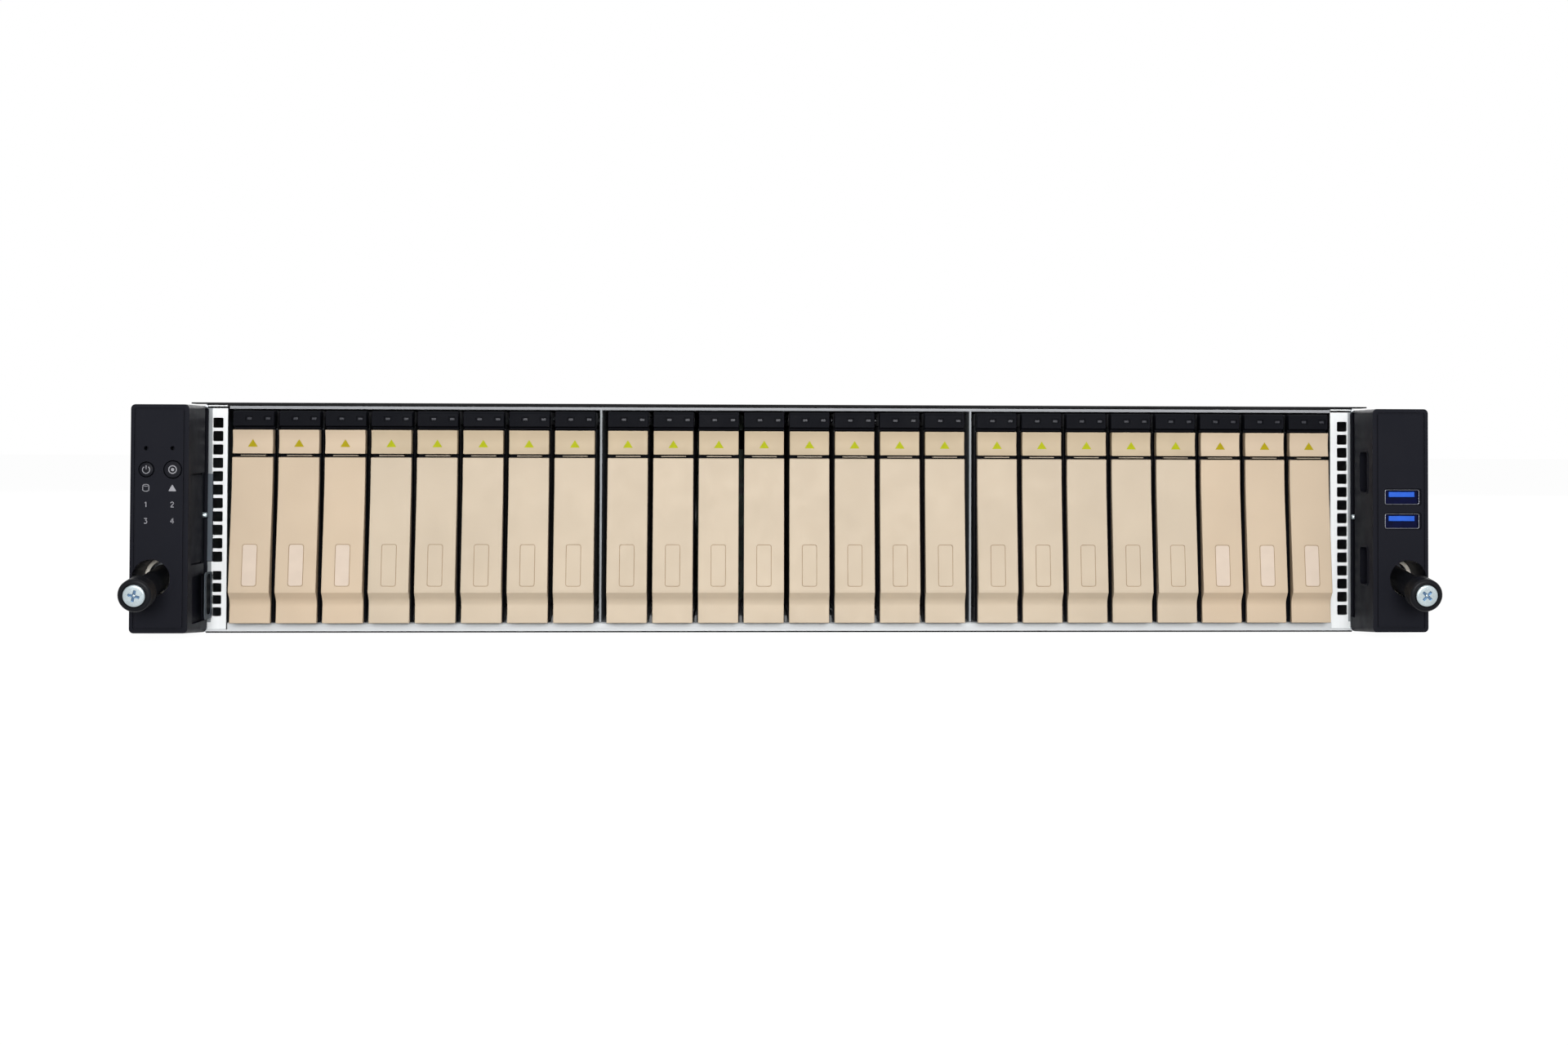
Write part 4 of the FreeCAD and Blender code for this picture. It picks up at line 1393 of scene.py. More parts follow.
@dataclass
class SocketEar(RackEar):
    """Right ear with two stacked data sockets and two slots in its inner wall."""

    socket_x: float = 229.9
    socket_size: Pair = (13.1, 5.7)
    socket_wall: float = 0.3
    flare: float = 0.45
    room: float = 0.1
    socket_depth: float = 14.0
    setback: float = 1.0
    socket_z: Pair = (43.65, 52.65)
    throat_setback: float = 2.6
    throat_room: float = 0.02
    sill: Pair = (3.0, 0.25)
    tongue_z: Pair = (0.0, 1.95)
    tongue_half: float = 4.9
    tongue_setback: float = 1.6
    slot_y: Pair = (-25.0, -15.0)
    slots_z: Sequence[Pair] = ((54.3, 69.5), (19.5, 33.5))
    slot_depth: float = 2.0
    slot_corner: float = 2.0
    slot_rim: Pair = (0.6, 0.25)

    def opening(self, z: float, grow: float, radius: float) -> Outline:
        """Outline of a socket, grown all round."""
        width, height = self.socket_size
        return rectangle((self.socket_x, z), width + 2 * grow, height + 2 * grow, radius)

    def shell(self) -> Solid:
        """Ear with its socket openings and rimmed slots.

        Returns:
            The ear.
        """
        solid = super().shell()
        lip, back = self.front + self.setback, self.front + self.socket_depth
        for z in self.socket_z:
            solid.carve(Solid().prism(self.opening(z, self.flare, 0.9), Axis.Y, (self.front - PAST, lip)))
            solid.carve(Solid().prism(self.opening(z, self.room, 0.7), Axis.Y, (lip - 0.1, back)))
        width, proud = self.slot_rim
        reach = across(self.side, self.inner - proud, self.inner + 0.2)
        for z in self.slots_z:
            solid.carve(self.pocket(self.slot_y, z, self.slot_depth, self.slot_corner))
            rim = oblong(self.slot_y, z, self.slot_corner + 0.4, width)
            solid.prism(rim, Axis.X, reach, [oblong(self.slot_y, z, self.slot_corner)], bevel=0.1)
        return solid

    def sockets(self) -> Solid:
        """Steel shells of the sockets, set a little back in the ear.

        Returns:
            The two shells.
        """
        solid = Solid()
        span = (self.front + self.setback, self.front + self.socket_depth)
        for z in self.socket_z:
            inner = self.opening(z, -self.socket_wall, 0.4)
            solid.prism(self.opening(z, 0, 0.7), Axis.Y, span, [inner], bevel=0.12)
        return solid

    def throats(self) -> Solid:
        """Dark blue block round the tongues inside the shells, with a sill in front: painted shade that fills
        the sockets' cavities.

        Returns:
            The two blocks of painted shade.
        """
        solid = Solid()
        inset = self.socket_wall + self.throat_room
        half = self.socket_size[0] / 2 - inset
        x = (self.socket_x - half, self.socket_x + half)
        span = (self.front + self.throat_setback, self.front + self.socket_depth)
        reach, rise = self.sill
        for z in self.socket_z:
            solid.prism(self.opening(z, -inset, 0.4), Axis.Y, span, bevel=0.1)
            low = z - self.socket_size[1] / 2 + self.socket_wall
            solid.block(x, (self.front + self.tongue_setback, self.front + reach), (low, low + rise))
        return solid

    def tongues(self) -> Solid:
        """Blue tongues in the sockets.

        Returns:
            The two tongues.
        """
        solid = Solid()
        x = (self.socket_x - self.tongue_half, self.socket_x + self.tongue_half)
        span = (self.front + self.tongue_setback, self.front + self.socket_depth - 0.5)
        for z in self.socket_z:
            solid.block(x, span, (z + self.tongue_z[0], z + self.tongue_z[1]), bevel=0.15)
        return solid

    def dress(self) -> None:
        """Put the ear and its sockets in place."""
        super().dress()
        makes = (
            ("sockets", self.sockets, SOCKET_STEEL), ("throats", self.throats, SOCKET_SHADE),
            ("tongues", self.tongues, SOCKET_BLUE),
        )
        fit("chassis", "right_ear", makes)


@dataclass
class Thumbscrew:
    """Captive screw that droops onto the lip of its recess: knurled knob on a neck, plated head, shank."""

    side: Side
    mouth: Triple = (231.9, -31.6, 19.8287)
    droop: float = 6.6
    radius: float = 6.0
    length: float = 8.0
    reach: float = 22.3
    neck: float = 4.3
    sleeve: float = 20.0
    head_radius: float = 4.0
    head_seat: float = 0.8
    tip: float = 23.1
    shank: float = 2.0
    shank_end: float = 23.5
    flute: float = 0.28
    flutes: int = 36
    cross_turn: float = 14.0
    cross_length: float = 4.3
    cross_widths: Pair = (1.05, 1.0)
    cross_depth: float = 0.8
    cross_floor: Pair = (1.0, 0.7)
    dimple: Sequence[Pair] = ((-1.0, 0), (-1.0, 0.6), (-0.5, 0.45), (-0.4, 0))

    def seated(self, solid: Solid) -> Solid:
        """Move a solid from the origin to the screw's place and tilt."""
        x, y, z = self.mouth
        return solid.moved(Matrix.Translation((self.side.value * x, y, z)), tilted(self.droop))

    def knob(self) -> Solid:
        """Sleeve and neck, and a knob with a knurled band between two plain rims and a rounded front edge.

        Returns:
            The black moulding.
        """
        r, neck, end, start = self.radius, self.neck, self.reach, -self.sleeve
        back = end - self.length
        points = [
            (start, 0, 0), (start, neck - 0.3, 0), (start + 0.3, neck, 0), (back - 0.3, neck, 0),
            (back, neck + 0.3, 0), (back, r - 0.6, 0), (back + 0.5, r, 0), (back + 1.0, r, 0),
            (back + 1.3, r, self.flute), (end - 2.2, r, self.flute), (end - 1.8, r, 0), (end - 0.7, r, 0),
            (end - 0.2, r - 0.35, 0), (end, r - 0.9, 0), (end, self.head_radius + 0.45, 0),
            (end - 0.6, self.head_radius + 0.3, 0), (end - 0.6, 0, 0),
        ]
        profile, sunk = [point[:2] for point in points], [point[2] for point in points]
        return self.seated(Solid().turned(profile, 2 * self.flutes, sunk))

    def head(self) -> Solid:
        """Plated head with its cross recess, and the shank.

        Returns:
            The steel screw.
        """
        r, tip, seat = self.head_radius, self.tip, self.reach - self.head_seat
        dome = [(seat, 0), (seat, r), (tip - 0.45, r), (tip - 0.12, r - 0.25), (tip, r - 0.7), (tip, 0)]
        solid = Solid().turned(dome, 48)
        for turn in (0, 90):
            solid.carve(self.bar(turn, (tip - self.cross_depth, tip + PAST), self.cross_widths[0]))
        solid.turned(carried(self.dimple, (tip, 0)), 16)
        rod, end, start = self.shank, -self.shank_end, -self.sleeve
        solid.turned([(end, 0), (end, rod - 0.6), (end + 0.8, rod), (start, rod), (start, 0)], 32)
        return self.seated(solid)

    def bar(self, turn: float, span: Pair, width: float) -> Solid:
        """One bar of the head's cross.

        Args:
            turn: its direction in degrees.
            span: how far out it starts and ends.
            width: its width.

        Returns:
            The bar at the origin.
        """
        outline = rectangle((0, 0), self.cross_length, width, 0.3)
        solid = Solid().prism(outline, Axis.Y, (-span[1], -span[0]))
        return solid.moved(tilted(turn + self.cross_turn, Axis.Y))

    def cross(self) -> Solid:
        """Bottom of the cross recess, its blue-grey plating darkened as painted shade of the recess.

        Returns:
            The two bars.
        """
        low, high = (self.tip - depth for depth in self.cross_floor)
        first, second = (self.bar(turn, (low, high), self.cross_widths[1]) for turn in (0, 90))
        return self.seated(first.join(second))

    def dress(self) -> None:
        """Put the screw on its body."""
        body = f"{self.side.name.lower()}_thumbscrew"
        makes = (
            ("knob", self.knob, KNOB_PLASTIC), ("head", self.head, SCREW_STEEL),
            ("cross", self.cross, CROSS_SHADE_STEEL),
        )
        fit(body, body, makes, [body])


@dataclass(frozen=True)
class HoleRow:
    """Row of square holes, one below the other."""

    first: float
    pitch: float
    count: int
    size: float
    corner: float

    def outlines(self, x: float) -> list[Outline]:
        """Outlines of the holes at an X."""
        levels = [self.first - row * self.pitch for row in range(self.count)]
        return [rectangle((x, z), self.size, self.size, self.corner, 3) for z in levels]


@dataclass
class ChassisShell:
    """Folded tub with its rack flanges, drive cage, rear panel and power bay."""

    wall: Pair = (218.8, 220.0)
    wall_top: float = 86.0
    sheet: float = 1.2
    bends: Pair = (1.8, 0.6)
    front: float = -1.5
    depth: float = 709.8
    flange: Pair = (218.8, 239.5)
    flange_z: Pair = (0.2, 85.6)
    flange_corner: float = 1.2
    screw: Triple = (231.9, 22.1, 3.5)
    stud: Triple = (44.0, 3.0, 3.0)
    stud_neck: Pair = (2.2, 1.4)
    stud_y: Pair = (60.0, 620.0)
    strip: Pair = (210.9, 218.8)
    left_edge: float = 211.6
    strip_top: float = 84.85
    brow_y: Pair = (-0.4, 8.0)
    brow_z: Pair = (85.5, 85.97)
    hole_x: Pair = (215.2, 215.5)
    left_rows: Sequence[HoleRow] = (HoleRow(79.3, 5.07, 11, 3.8, 0.45), HoleRow(21.5, 4.56, 4, 3.3, 0.4))
    right_rows: Sequence[HoleRow] = (HoleRow(79.3, 5.07, 15, 3.8, 0.45),)
    edge_widths: Pair = (1.5, 1.0)
    edge_y: Pair = (-0.12, 0.3)
    guide: Pair = (1.2, 3.9)
    guide_back: float = 111.2
    facing_y: Pair = (-1.56, -1.2)
    # The seam is a strip of painted shade: the contact shadow along the bottom of the front
    seam_y: Pair = (-1.54, -1.1)
    seam_z: Pair = (0.0, 0.55)
    top_guide: Pair = (84.6, 85.75)
    rib_top: float = 6.1
    rib_back: float = 102.7
    rib_slope: float = 3.0
    rib_half: float = 0.5
    divider_x: Pair = (-70.75, 70.75)
    divider_half: float = 0.45
    tab_x: Pair = (-217.15, -216.85)
    tab_y: Pair = (-11.8, 0.0)
    tab_z: Pair = (5.6, 23.2)
    tab_slot_y: Pair = (-9.1, -1.6)
    tab_slot_z: Pair = (7.3, 22.4)
    pad_x: Pair = (-217.7, -217.2)
    pad_y: Pair = (-10.6, -0.1)
    pad_z: Pair = (6.6, 22.9)
    plate_x: Pair = (-218.8, -216.75)
    plate_y: Pair = (-1.4, 0.1)
    plate_z: Pair = (27.0, 60.0)
    partition: Pair = (140.0, 141.2)
    partition_front: float = 511.8
    shelf_front: float = 519.8
    shelf_z: Pair = (43.0, 44.2)
    slot_x: Sequence[Pair] = ((-206.8, -101.8), (23.0, 128.0))
    slot_z: Triple = (20.0, 40.3, 60.6)
    slot_height: float = 13.0
    lap: float = 2.5
    cover: float = 0.8
    slits: int = 11
    slit_pitch: float = 8.9
    slit_size: Triple = (5.2, 7.0, 2.4)
    vents: int = 10
    vent_middle: float = -39.4
    vent_pitch: float = 9.0
    vent_half: float = 2.5
    vent_z: Pair = (26.0, 72.0)

    def tub(self) -> Solid:
        """Floor and walls as one bent sheet, with the flanges and the rail studs.

        Returns:
            The tub.
        """
        (inner, outer), top, floor = self.wall, self.wall_top, self.sheet
        outside, inside = self.bends
        section = [
            (-outer, top, 0), (-outer, 0, outside), (outer, 0, outside), (outer, top, 0),
            (inner, top, 0), (inner, floor, inside), (-inner, floor, inside), (-inner, top, 0),
        ]
        solid = Solid().prism(soften(section, 4), Axis.Y, (self.front, self.depth), bevel=0.2)
        x, z, radius = self.screw
        for side in Side:
            plate = oblong(across(side, *self.flange), self.flange_z, self.flange_corner)
            hole = circle((side.value * x, z), radius, 28)
            solid.prism(plate, Axis.Y, (self.front, 0), [hole], bevel=0.2)
            for y in self.stud_y:
                solid.join(self.rail_stud(side, y))
        return solid

    def rail_stud(self, side: Side, y: float) -> Solid:
        """Headed stud that a rail hooks onto.

        Args:
            side: which wall it is on.
            y: its distance from the front.

        Returns:
            The stud.
        """
        z, radius, height = self.stud
        neck, shoulder = self.stud_neck
        profile = [
            (-0.5, 0), (-0.5, neck), (shoulder, neck), (shoulder, radius), (height - 0.3, radius),
            (height, radius - 0.3), (height, 0),
        ]
        spot = Matrix.Translation((side.value * self.wall[1], y, z))
        return Solid().turned(profile, 32).moved(spot, tilted(90 * side.value, Axis.Z))

    def strips(self) -> Solid:
        """Perforated strips beside the bays, each under a thin brow.

        Returns:
            The two strips.
        """
        solid = Solid()
        edges, rows = (self.left_edge, self.strip[0]), (self.left_rows, self.right_rows)
        for side, edge, x, sets in zip(Side, edges, self.hole_x, rows):
            holes = [hole for row in sets for hole in row.outlines(side.value * x)]
            reach = across(side, edge, self.strip[1])
            outline = oblong(reach, (self.sheet, self.strip_top))
            solid.prism(outline, Axis.Y, (0, self.sheet), holes, bevel=0.18)
            solid.block(reach, self.brow_y, self.brow_z, bevel=0.1)
        return solid

    def cage(self) -> Solid:
        """Bottom guide with its ribs and its facing.

        Returns:
            The guide.
        """
        near, far = self.strip
        (low, high), front, back = self.guide, self.front, self.guide_back
        rail = [(front, low, 0), (back, low, 0), (back, high, 0), (front, high, 0.9)]
        solid = Solid().prism(soften(rail, 3), Axis.X, (-near, near), bevel=0.2)
        solid.block((-far, far), self.facing_y, (self.seam_z[1], low + 0.1))
        root, end, top = high - 0.3, self.rib_back, self.rib_top
        rib = [(0, root), (0, high), (self.rib_slope, top), (end, top), (end, root)]
        for middle in BANK_MIDDLES:
            for x in spaced(middle, BAY_PITCH, BANK_BAYS - 1):
                solid.prism(rib, Axis.X, (x - self.rib_half, x + self.rib_half), bevel=0.12)
        return solid

    def seam(self) -> Solid:
        """Dark strip along the floor sheet's front edge: painted shade, the contact shadow where the chassis
        meets the floor.
        """
        return Solid().block((-self.strip[1], self.strip[1]), self.seam_y, self.seam_z)

    def header(self) -> Solid:
        """Top guide over the carriers."""
        near = self.strip[0]
        return Solid().block((-near, near), (0, self.guide_back), self.top_guide, bevel=0.12)

    def rear(self) -> Solid:
        """Rear panel with its vents and card slot covers, and the walls of the power bay.

        Returns:
            The rear sheet metal.
        """
        inner, back, height = self.wall[0], self.depth, (self.sheet, self.wall_top)
        slots = [(x, (z, z + self.slot_height)) for x in self.slot_x for z in self.slot_z]
        openings = [
            oblong((x - self.vent_half, x + self.vent_half), self.vent_z, 2.2)
            for x in spaced(self.vent_middle, self.vent_pitch, self.vents)
        ]
        openings += [oblong(x, z, 0.5) for x, z in slots]
        panel = oblong((-inner, self.partition[0]), height)
        solid = Solid().prism(panel, Axis.Y, (back - self.sheet, back), openings, bevel=0.15)
        for x, z in slots:
            places = spaced(sum(x) / 2, self.slit_pitch, self.slits)
            slits = [rectangle((place, sum(z) / 2), *self.slit_size) for place in places]
            solid.prism(oblong(x, z, 1.5, self.lap), Axis.Y, (back, back + self.cover), slits, bevel=0.15)
        solid.block(self.partition, (self.partition_front, back), height, bevel=0.15)
        solid.block((self.partition[1], inner), (self.shelf_front, back), self.shelf_z, bevel=0.15)
        return solid

    def tab(self) -> Solid:
        """Slotted tab that stands out beside the left ear, painted dark grey as the ear's shade."""
        slot = oblong(self.tab_slot_y, self.tab_slot_z, 2.3)
        return Solid().prism(oblong(self.tab_y, self.tab_z, 1.6), Axis.X, self.tab_x, [slot], bevel=0.08)

    def pad(self) -> Solid:
        """Black block behind the tab's slot: painted shade in the opening."""
        return Solid().block(self.pad_x, self.pad_y, self.pad_z, bevel=0.1)

    def plate(self) -> Solid:
        """Edge of a plate behind the left ear, over the strip, painted dark grey as the ear's shade."""
        return Solid().block(self.plate_x, self.plate_y, self.plate_z, bevel=0.15)

    def edges(self) -> Solid:
        """Dividers between the banks, and the strips' outer edges where they meet the ears, all in a grey
        that is painted shade.

        Returns:
            The shaded pieces.
        """
        solid = Solid()
        (low, high), far = (self.guide[1], self.top_guide[0]), self.strip[1]
        for x in self.divider_x:
            reach = (x - self.divider_half, x + self.divider_half)
            solid.block(reach, (0, self.guide_back), (low - 0.2, high + 0.2), bevel=0.15)
        for side, width in zip(Side, self.edge_widths):
            solid.block(across(side, far - width, far), self.edge_y, (low, self.strip_top), bevel=0.05)
        return solid

    def dress(self) -> None:
        """Put the shell's pieces on the chassis."""
        makes = (
            ("tub", self.tub, ZINC), ("strips", self.strips, STRIP), ("cage", self.cage, CAGE),
            ("header", self.header, HEADER), ("seam", self.seam, HEM_SHADE), ("rear", self.rear, ZINC),
            ("tab", self.tab, SHADED), ("plate", self.plate, SHADED), ("pad", self.pad, CARRIER_PLASTIC),
            ("edges", self.edges, EDGE_SHADE),
        )
        fit("chassis", "chassis", makes, ["chassis_tub"])


@dataclass
class TopCover:
    """Lid with two locating lips, a pressed finger grip, two seams and a folded front edge, painted dark as
    the shadow line under the lid.
    """

    half: float = 220.0
    depth: float = 709.8
    z: Pair = (86.0, 87.0)
    grip_y: float = 62.0
    grip_size: Triple = (60.0, 26.0, 6.0)
    grip_depth: float = 0.5
    seam_y: Pair = (117.8, 507.6)
    seam_size: Triple = (432.0, 0.8, 0.3)
    seam_depth: float = 0.3
    lip_x: Pair = (217.5, 218.5)
    lip_y: Pair = (114.8, 510.6)
    lip_bottom: float = 81.2
    hem: float = 0.4
    hem_half: float = 219.4
    tongue_x: Pair = (219.0, 225.3)
    tongue_back: float = 9.0
    tongue_bottom: float = 86.5

    def lid(self) -> Solid:
        """Lid, lips and pressed marks.

        Returns:
            The lid behind its folded edge.
        """
        low, top = self.z
        outline = oblong((-self.half, self.half), (self.hem - 0.05, self.depth), 1.0)
        solid = Solid().prism(outline, Axis.Z, self.z, bevel=0.25)
        grip = rectangle((0, self.grip_y), *self.grip_size, steps=6)
        solid.carve(Solid().prism(grip, Axis.Z, (top - self.grip_depth, top + PAST)))
        for y in self.seam_y:
            seam = rectangle((0, y), *self.seam_size)
            solid.carve(Solid().prism(seam, Axis.Z, (top - self.seam_depth, top + PAST)))
        for side in Side:
            solid.block(across(side, *self.lip_x), self.lip_y, (self.lip_bottom, low + 0.2), bevel=0.15)
        return solid

    def edge(self) -> Solid:
        """Folded front edge, and thin tongues that reach sideways from its corners, over the ears, all
        painted near-black as the shadow line under the lid.

        Returns:
            The edge in painted shade.
        """
        solid = Solid().block((-self.hem_half, self.hem_half), (0, self.hem), self.z, bevel=0.08)
        height = (self.tongue_bottom, self.z[1])
        for side in Side:
            solid.block(across(side, *self.tongue_x), (0, self.tongue_back), height, bevel=0.08)
        return solid

    def dress(self) -> None:
        """Put the lid on its body."""
        fit("cover", "top_cover", (("lid", self.lid, LID), ("hem", self.edge, HEM_SHADE)), ["top_cover"])


@dataclass(frozen=True)
class Rotor:
    """Fan rotor that faces the front: a hub with tilted blades round it."""

    hub: Sequence[Pair]
    steps: int
    blades: int
    blade_middle: float
    blade_size: Triple
    blade_y: Pair
    blade_tilt: float
    blade_edge: float

    def build(self) -> Solid:
        """Hub and blades about the origin.

        Returns:
            The rotor.
        """
        solid = Solid().turned(self.hub, self.steps)
        for blade in range(self.blades):
            outline = rectangle((self.blade_middle, 0), *self.blade_size)
            vane = Solid().prism(outline, Axis.Y, self.blade_y, bevel=self.blade_edge)
            solid.join(vane.moved(tilted(blade * 360 / self.blades, Axis.Y), tilted(self.blade_tilt)))
        return solid


SUPPLY_ROTOR = Rotor(
    hub=((-4.6, 0), (-4.6, 4.4), (-1.8, 4.4), (-1.5, 4.0), (-1.5, 0)), steps=32, blades=7, blade_middle=8.6,
    blade_size=(9.4, 3.4, 0.8), blade_y=(2.2, 2.9), blade_tilt=24, blade_edge=0.1,
)
FAN_ROTOR = Rotor(
    hub=((-5.8, 0), (-5.8, 15), (-1.2, 15), (-0.6, 14.2), (-0.6, 0)), steps=40, blades=9, blade_middle=24.5,
    blade_size=(20.5, 9, 3), blade_y=(2.8, 3.8), blade_tilt=22, blade_edge=0.2,
)


@dataclass
class PowerSupply:
    """Power supply module: casing, fan behind a guard, inlet and handle."""

    name: str
    z: Pair
    x: Pair = (141.4, 218.6)
    y: Pair = (519.8, 709.8)
    fan_x: float = 160.4
    fan_radius: float = 14.0
    fan_depth: float = 5.0
    guard_radii: Triple = (5.0, 8.2, 11.4)
    guard_wire: float = 0.9
    guard_setback: float = 1.2
    spoke: Pair = (0.8, 0.5)
    inlet_x: Pair = (186.6, 213.6)
    inlet_half: float = 10.0
    inlet_depth: float = 16.0
    inlet_chamfer: float = 5.0
    inlet_rim: Pair = (1.6, 0.7)
    liner: float = 0.8
    liner_room: float = 0.05
    contacts: Sequence[Pair] = ((0.0, 3.6), (-7.0, -2.6), (7.0, -2.6))
    contact_half: Pair = (1.0, 2.0)
    contact_setback: float = 2.5
    handle_x: Pair = (175.5, 185.5)
    handle_end: float = 733.8
    handle_thickness: float = 3.0
    handle_margin: float = 4.0
    handle_corners: Pair = (4.0, 1.5)

    @property
    def middle(self) -> float:
        """Mid-height of the module."""
        return sum(self.z) / 2

    def inlet(self, grow: float) -> Outline:
        """Outline of the inlet with its two cut corners.

        Args:
            grow: how much larger it is on each side.

        Returns:
            The outline.
        """
        cut, left, right = self.inlet_chamfer, self.inlet_x[0] - grow, self.inlet_x[1] + grow
        half = self.inlet_half + grow
        low, high = self.middle - half, self.middle + half
        return soften([
            (left, low, 1), (right, low, 1), (right, high - cut, 1), (right - cut, high, 1),
            (left + cut, high, 1), (left, high - cut, 1),
        ], 3)

    def casing(self) -> Solid:
        """Casing with the fan's mouth and the inlet cut in.

        Returns:
            The casing.
        """
        solid = Solid().block(self.x, self.y, self.z, bevel=0.4)
        back = self.y[1]
        mouth = circle((self.fan_x, self.middle), self.fan_radius, 48)
        solid.carve(Solid().prism(mouth, Axis.Y, (back - self.fan_depth, back + PAST)))
        seat = (back - self.inlet_depth - self.liner, back + PAST)
        return solid.carve(Solid().prism(self.inlet(self.liner), Axis.Y, seat))

    def guard(self) -> Solid:
        """Wire guard over the fan, rings on a cross of spokes, and the contact blades of the inlet.

        Returns:
            The steel pieces.
        """
        back, wire = self.y[1], self.guard_wire
        solid = Solid()
        for radius in self.guard_radii:
            solid.ring(radius, radius + wire, (-wire, 0.0), 40, bevel=0.15)
        depth, half = self.spoke
        for turn in (45, 135):
            spoke = Solid().block((-self.fan_radius, self.fan_radius), (0, depth), (-half, half), bevel=0.12)
            solid.join(spoke.moved(tilted(turn, Axis.Y)))
        solid.shifted(self.fan_x, back - self.guard_setback, self.middle)
        wide, high = self.contact_half
        span = (back - self.inlet_depth, back - self.contact_setback)
        for x, z in carried(self.contacts, (sum(self.inlet_x) / 2, self.middle)):
            solid.block((x - wide, x + wide), span, (z - high, z + high), bevel=0.3)
        return solid

    def handle(self) -> Solid:
        """Handle, fan rotor and the moulded rim and liner of the inlet.

        Returns:
            The black mouldings.
        """
        back, end, wall = self.y[1], self.handle_end, self.handle_thickness
        low, high = self.z[0] + self.handle_margin, self.z[1] - self.handle_margin
        outside, inside = self.handle_corners
        loop = [
            (back, low, 0), (end, low, outside), (end, high, outside), (back, high, 0),
            (back, high - wall, 0), (end - wall, high - wall, inside), (end - wall, low + wall, inside),
            (back, low + wall, 0),
        ]
        solid = Solid().prism(soften(loop, 5), Axis.X, self.handle_x, bevel=0.6)
        (grow, proud), room = self.inlet_rim, self.liner_room
        solid.prism(self.inlet(grow), Axis.Y, (back, back + proud), [self.inlet(-room)], bevel=0.2)
        floor, lining = back - self.inlet_depth, self.inlet(self.liner - room)
        solid.prism(lining, Axis.Y, (floor, back + room), [self.inlet(0)])
        solid.prism(lining, Axis.Y, (floor - self.liner + room, floor))
        spot = Matrix.Translation((self.fan_x, back, self.middle))
        return solid.join(SUPPLY_ROTOR.build().moved(spot, tilted(180, Axis.Z)))

    def dress(self) -> None:
        """Put the module on its body."""
        makes = (
            ("casing", self.casing, SUPPLY_METAL), ("guard", self.guard, SOCKET_STEEL),
            ("handle", self.handle, SUPPLY_PLASTIC),
        )
        fit(self.name, self.name, makes, [self.name])


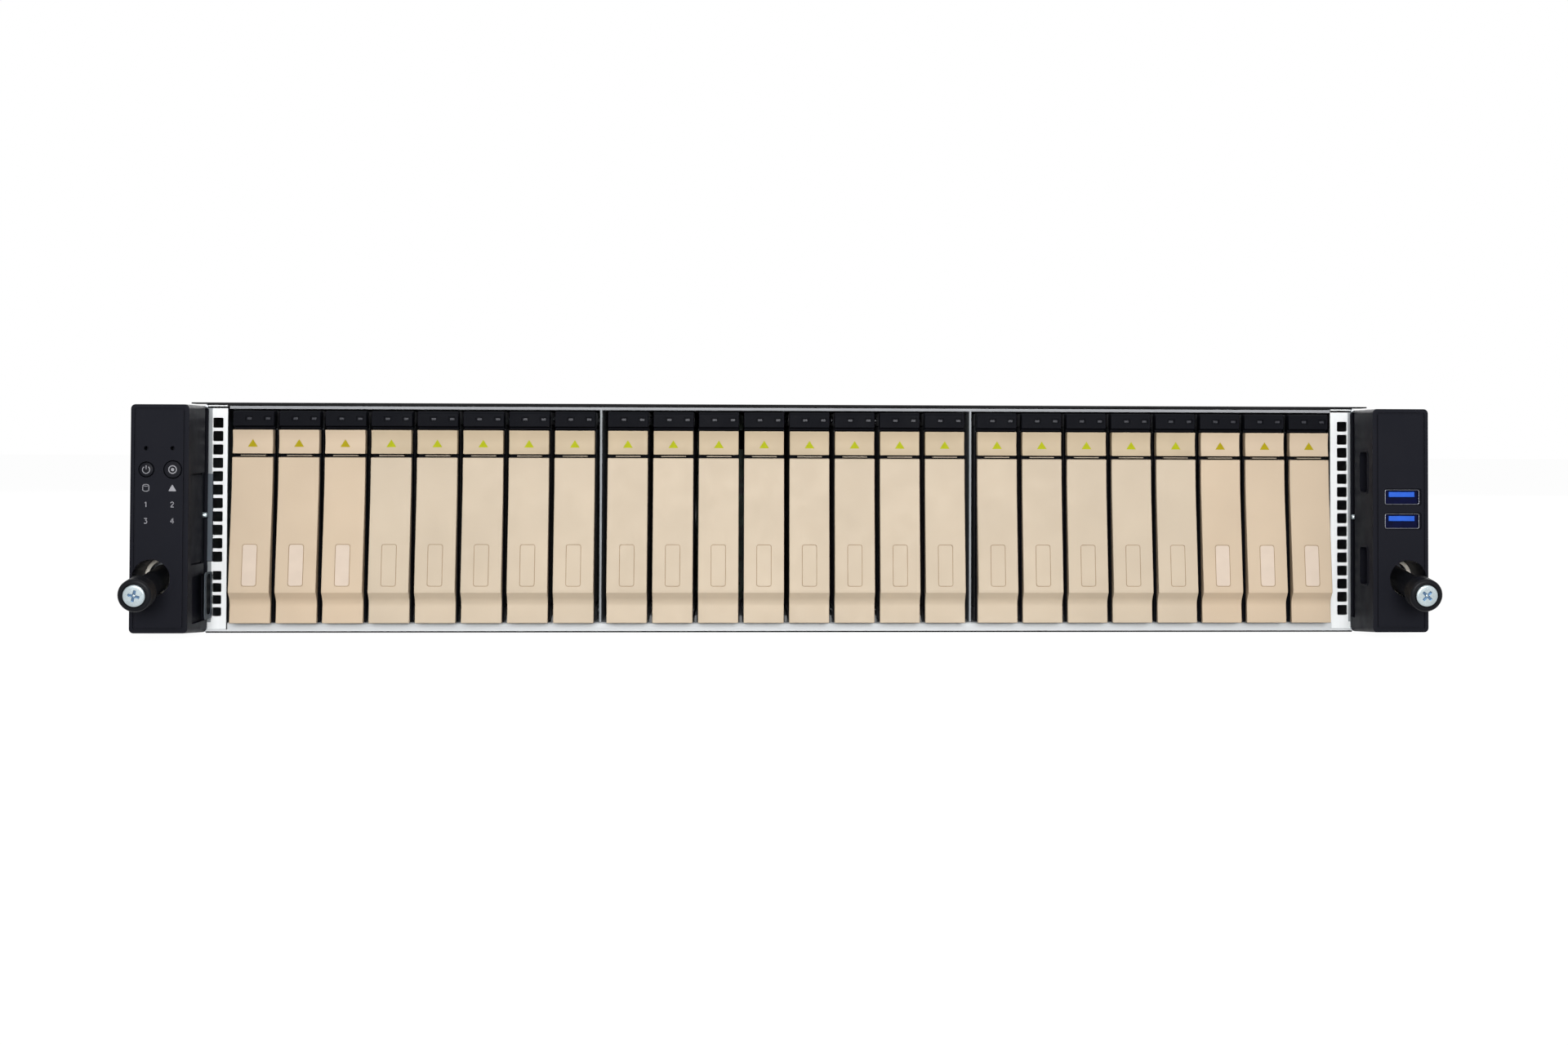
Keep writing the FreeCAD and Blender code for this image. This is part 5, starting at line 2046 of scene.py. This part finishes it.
@dataclass
class Mainboard:
    """Backplane with its connectors, and the board with heat sinks and memory modules."""

    backplane_y: Pair = (111.2, 113.6)
    backplane_half: float = 214.8
    backplane_z: Pair = (1.2, 84.85)
    air_slots: int = 10
    air_slot_pitch: float = 40.0
    air_slot_z: float = 74.0
    air_slot_size: Triple = (22.0, 8.0, 3.0)
    connector_half: float = 4.0
    connector_y: Pair = (103.2, 111.2)
    connector_z: Pair = (24.0, 64.0)
    board_z: Pair = (7.2, 8.8)
    board_half: float = 212.8
    board_y: Pair = (210.6, 702.6)
    notch: Pair = (134.0, 505.8)
    post_x: Pair = (-200.8, 122.0)
    post_y: Sequence[float] = (222.6, 358.2, 493.8, 690.6)
    post_foot: float = 1.2
    post_size: Triple = (6.0, 6.0, 2.0)
    sink_x: float = 106.4
    sink_half: float = 45.0
    sink_y: Pair = (272.6, 382.6)
    sink_z: Triple = (8.8, 14.8, 66.8)
    fins: int = 11
    fin: float = 1.2
    memory_reach: Sequence[float] = (52.0, 61.0, 70.0, 79.0)
    memory_half: float = 0.7
    memory_y: Pair = (261.1, 394.1)
    memory_z: Pair = (8.8, 39.8)
    memory_lift: float = 3.0
    socket_half: float = 1.6
    socket_height: float = 6.0
    chips: int = 8
    chip_half: float = 1.5
    chip_first: float = 8.0
    chip_pitch: float = 15.0
    chip_length: float = 11.0
    chip_drop: Pair = (20.0, 8.0)

    def memory_spots(self) -> Iterator[float]:
        """Places of the memory modules on both sides of each heat sink.

        Yields:
            X of each module.
        """
        for side in Side:
            for reach in self.memory_reach:
                yield side.value * self.sink_x - reach
                yield side.value * self.sink_x + reach

    def laminate(self) -> Solid:
        """Board, backplane with air slots, and memory modules.

        Returns:
            The circuit boards.
        """
        (front, back), half, (notch_x, notch_y) = self.board_y, self.board_half, self.notch
        outline = [
            (-half, front), (half, front), (half, notch_y), (notch_x, notch_y), (notch_x, back),
            (-half, back),
        ]
        solid = Solid().prism(outline, Axis.Z, self.board_z, bevel=0.15)
        plane = oblong((-self.backplane_half, self.backplane_half), self.backplane_z)
        places = spaced(0, self.air_slot_pitch, self.air_slots)
        slots = [rectangle((x, self.air_slot_z), *self.air_slot_size) for x in places]
        solid.prism(plane, Axis.Y, self.backplane_y, slots, bevel=0.15)
        foot, top = self.memory_z
        for x in self.memory_spots():
            reach = (x - self.memory_half, x + self.memory_half)
            solid.block(reach, self.memory_y, (foot + self.memory_lift, top), bevel=0.15)
        return solid

    def sinks(self) -> Solid:
        """Finned heat sinks.

        Returns:
            The two sinks.
        """
        solid = Solid()
        foot, base, top = self.sink_z
        pitch = (2 * self.sink_half - self.fin) / (self.fins - 1)
        for side in Side:
            left = side.value * self.sink_x - self.sink_half
            solid.block((left, left + 2 * self.sink_half), self.sink_y, (foot, base), bevel=0.4)
            for index in range(self.fins):
                x = left + index * pitch
                solid.block((x, x + self.fin), self.sink_y, (base - 0.2, top), bevel=0.15)
        return solid

    def sockets(self) -> Solid:
        """Black drive connectors, and the sockets and chips of the memory modules.

        Returns:
            The black pieces.
        """
        solid = Solid()
        for middle in BANK_MIDDLES:
            for x in spaced(middle, BAY_PITCH, BANK_BAYS):
                reach = (x - self.connector_half, x + self.connector_half)
                solid.block(reach, self.connector_y, self.connector_z, bevel=0.5)
        foot, top = self.memory_z
        low, high = (top - drop for drop in self.chip_drop)
        for x in self.memory_spots():
            reach = (x - self.socket_half, x + self.socket_half)
            solid.block(reach, self.memory_y, (foot, foot + self.socket_height), bevel=0.3)
            for chip in range(self.chips):
                y = self.memory_y[0] + self.chip_first + chip * self.chip_pitch
                reach = (x - self.chip_half, x + self.chip_half)
                solid.block(reach, (y, y + self.chip_length), (low, high), bevel=0.2)
        return solid

    def standoffs(self) -> Solid:
        """Posts under the board.

        Returns:
            The posts.
        """
        solid = Solid()
        for y in self.post_y:
            for x in self.post_x:
                post = rectangle((x, y), *self.post_size)
                solid.prism(post, Axis.Z, (self.post_foot, self.board_z[0]), bevel=0.2)
        return solid

    def dress(self) -> None:
        """Put the boards on the chassis."""
        makes = (
            ("laminate", self.laminate, BOARD), ("sinks", self.sinks, SINK),
            ("sockets", self.sockets, FAN_PLASTIC), ("standoffs", self.standoffs, SCREW_STEEL),
        )
        fit("chassis", "mainboard", makes, ["mainboard"])


@dataclass
class FanWall:
    """Row of fan cartridges behind the backplane."""

    count: int = 4
    first: float = -212.8
    pitch: float = 107.4
    width: float = 103.4
    y: Pair = (158.6, 198.6)
    z: Pair = (1.2, 80.0)
    radius: float = 35.4
    mouth: float = 6.0

    def cartridge(self, left: float) -> Solid:
        """One cartridge with its rotor in the mouth.

        Args:
            left: X of its left side.

        Returns:
            The cartridge.
        """
        front = self.y[0]
        x, z = left + self.width / 2, sum(self.z) / 2
        solid = Solid().block((left, left + self.width), self.y, self.z, bevel=0.8)
        mouth = circle((x, z), self.radius, 64)
        solid.carve(Solid().prism(mouth, Axis.Y, (front - PAST, front + self.mouth)))
        return solid.join(FAN_ROTOR.build().shifted(x, front, z))

    def cartridges(self) -> Solid:
        """The whole row.

        Returns:
            All cartridges.
        """
        solid = Solid()
        for index in range(self.count):
            solid.join(self.cartridge(self.first + index * self.pitch))
        return solid

    def dress(self) -> None:
        """Put the fans on the chassis."""
        fit("chassis", "fan_wall", (("cartridges", self.cartridges, FAN_PLASTIC),), ["fan_wall"])


def main() -> None:
    """Build every sub-assembly in order, and report each piece."""
    logging.basicConfig(level=logging.INFO, format="%(message)s")
    Studio().build()
    ChassisShell().dress()
    TopCover().dress()
    ControlEar(Side.LEFT).dress()
    SocketEar(Side.RIGHT).dress()
    Thumbscrew(Side.LEFT).dress()
    Thumbscrew(Side.RIGHT, cross_turn=42.0).dress()
    PowerSupply("psu_lower", (1.6, 42.6)).dress()
    PowerSupply("psu_upper", (44.6, 85.6)).dress()
    Mainboard().dress()
    FanWall().dress()
    DriveBank().dress()


if __name__ == "__main__":
    main()
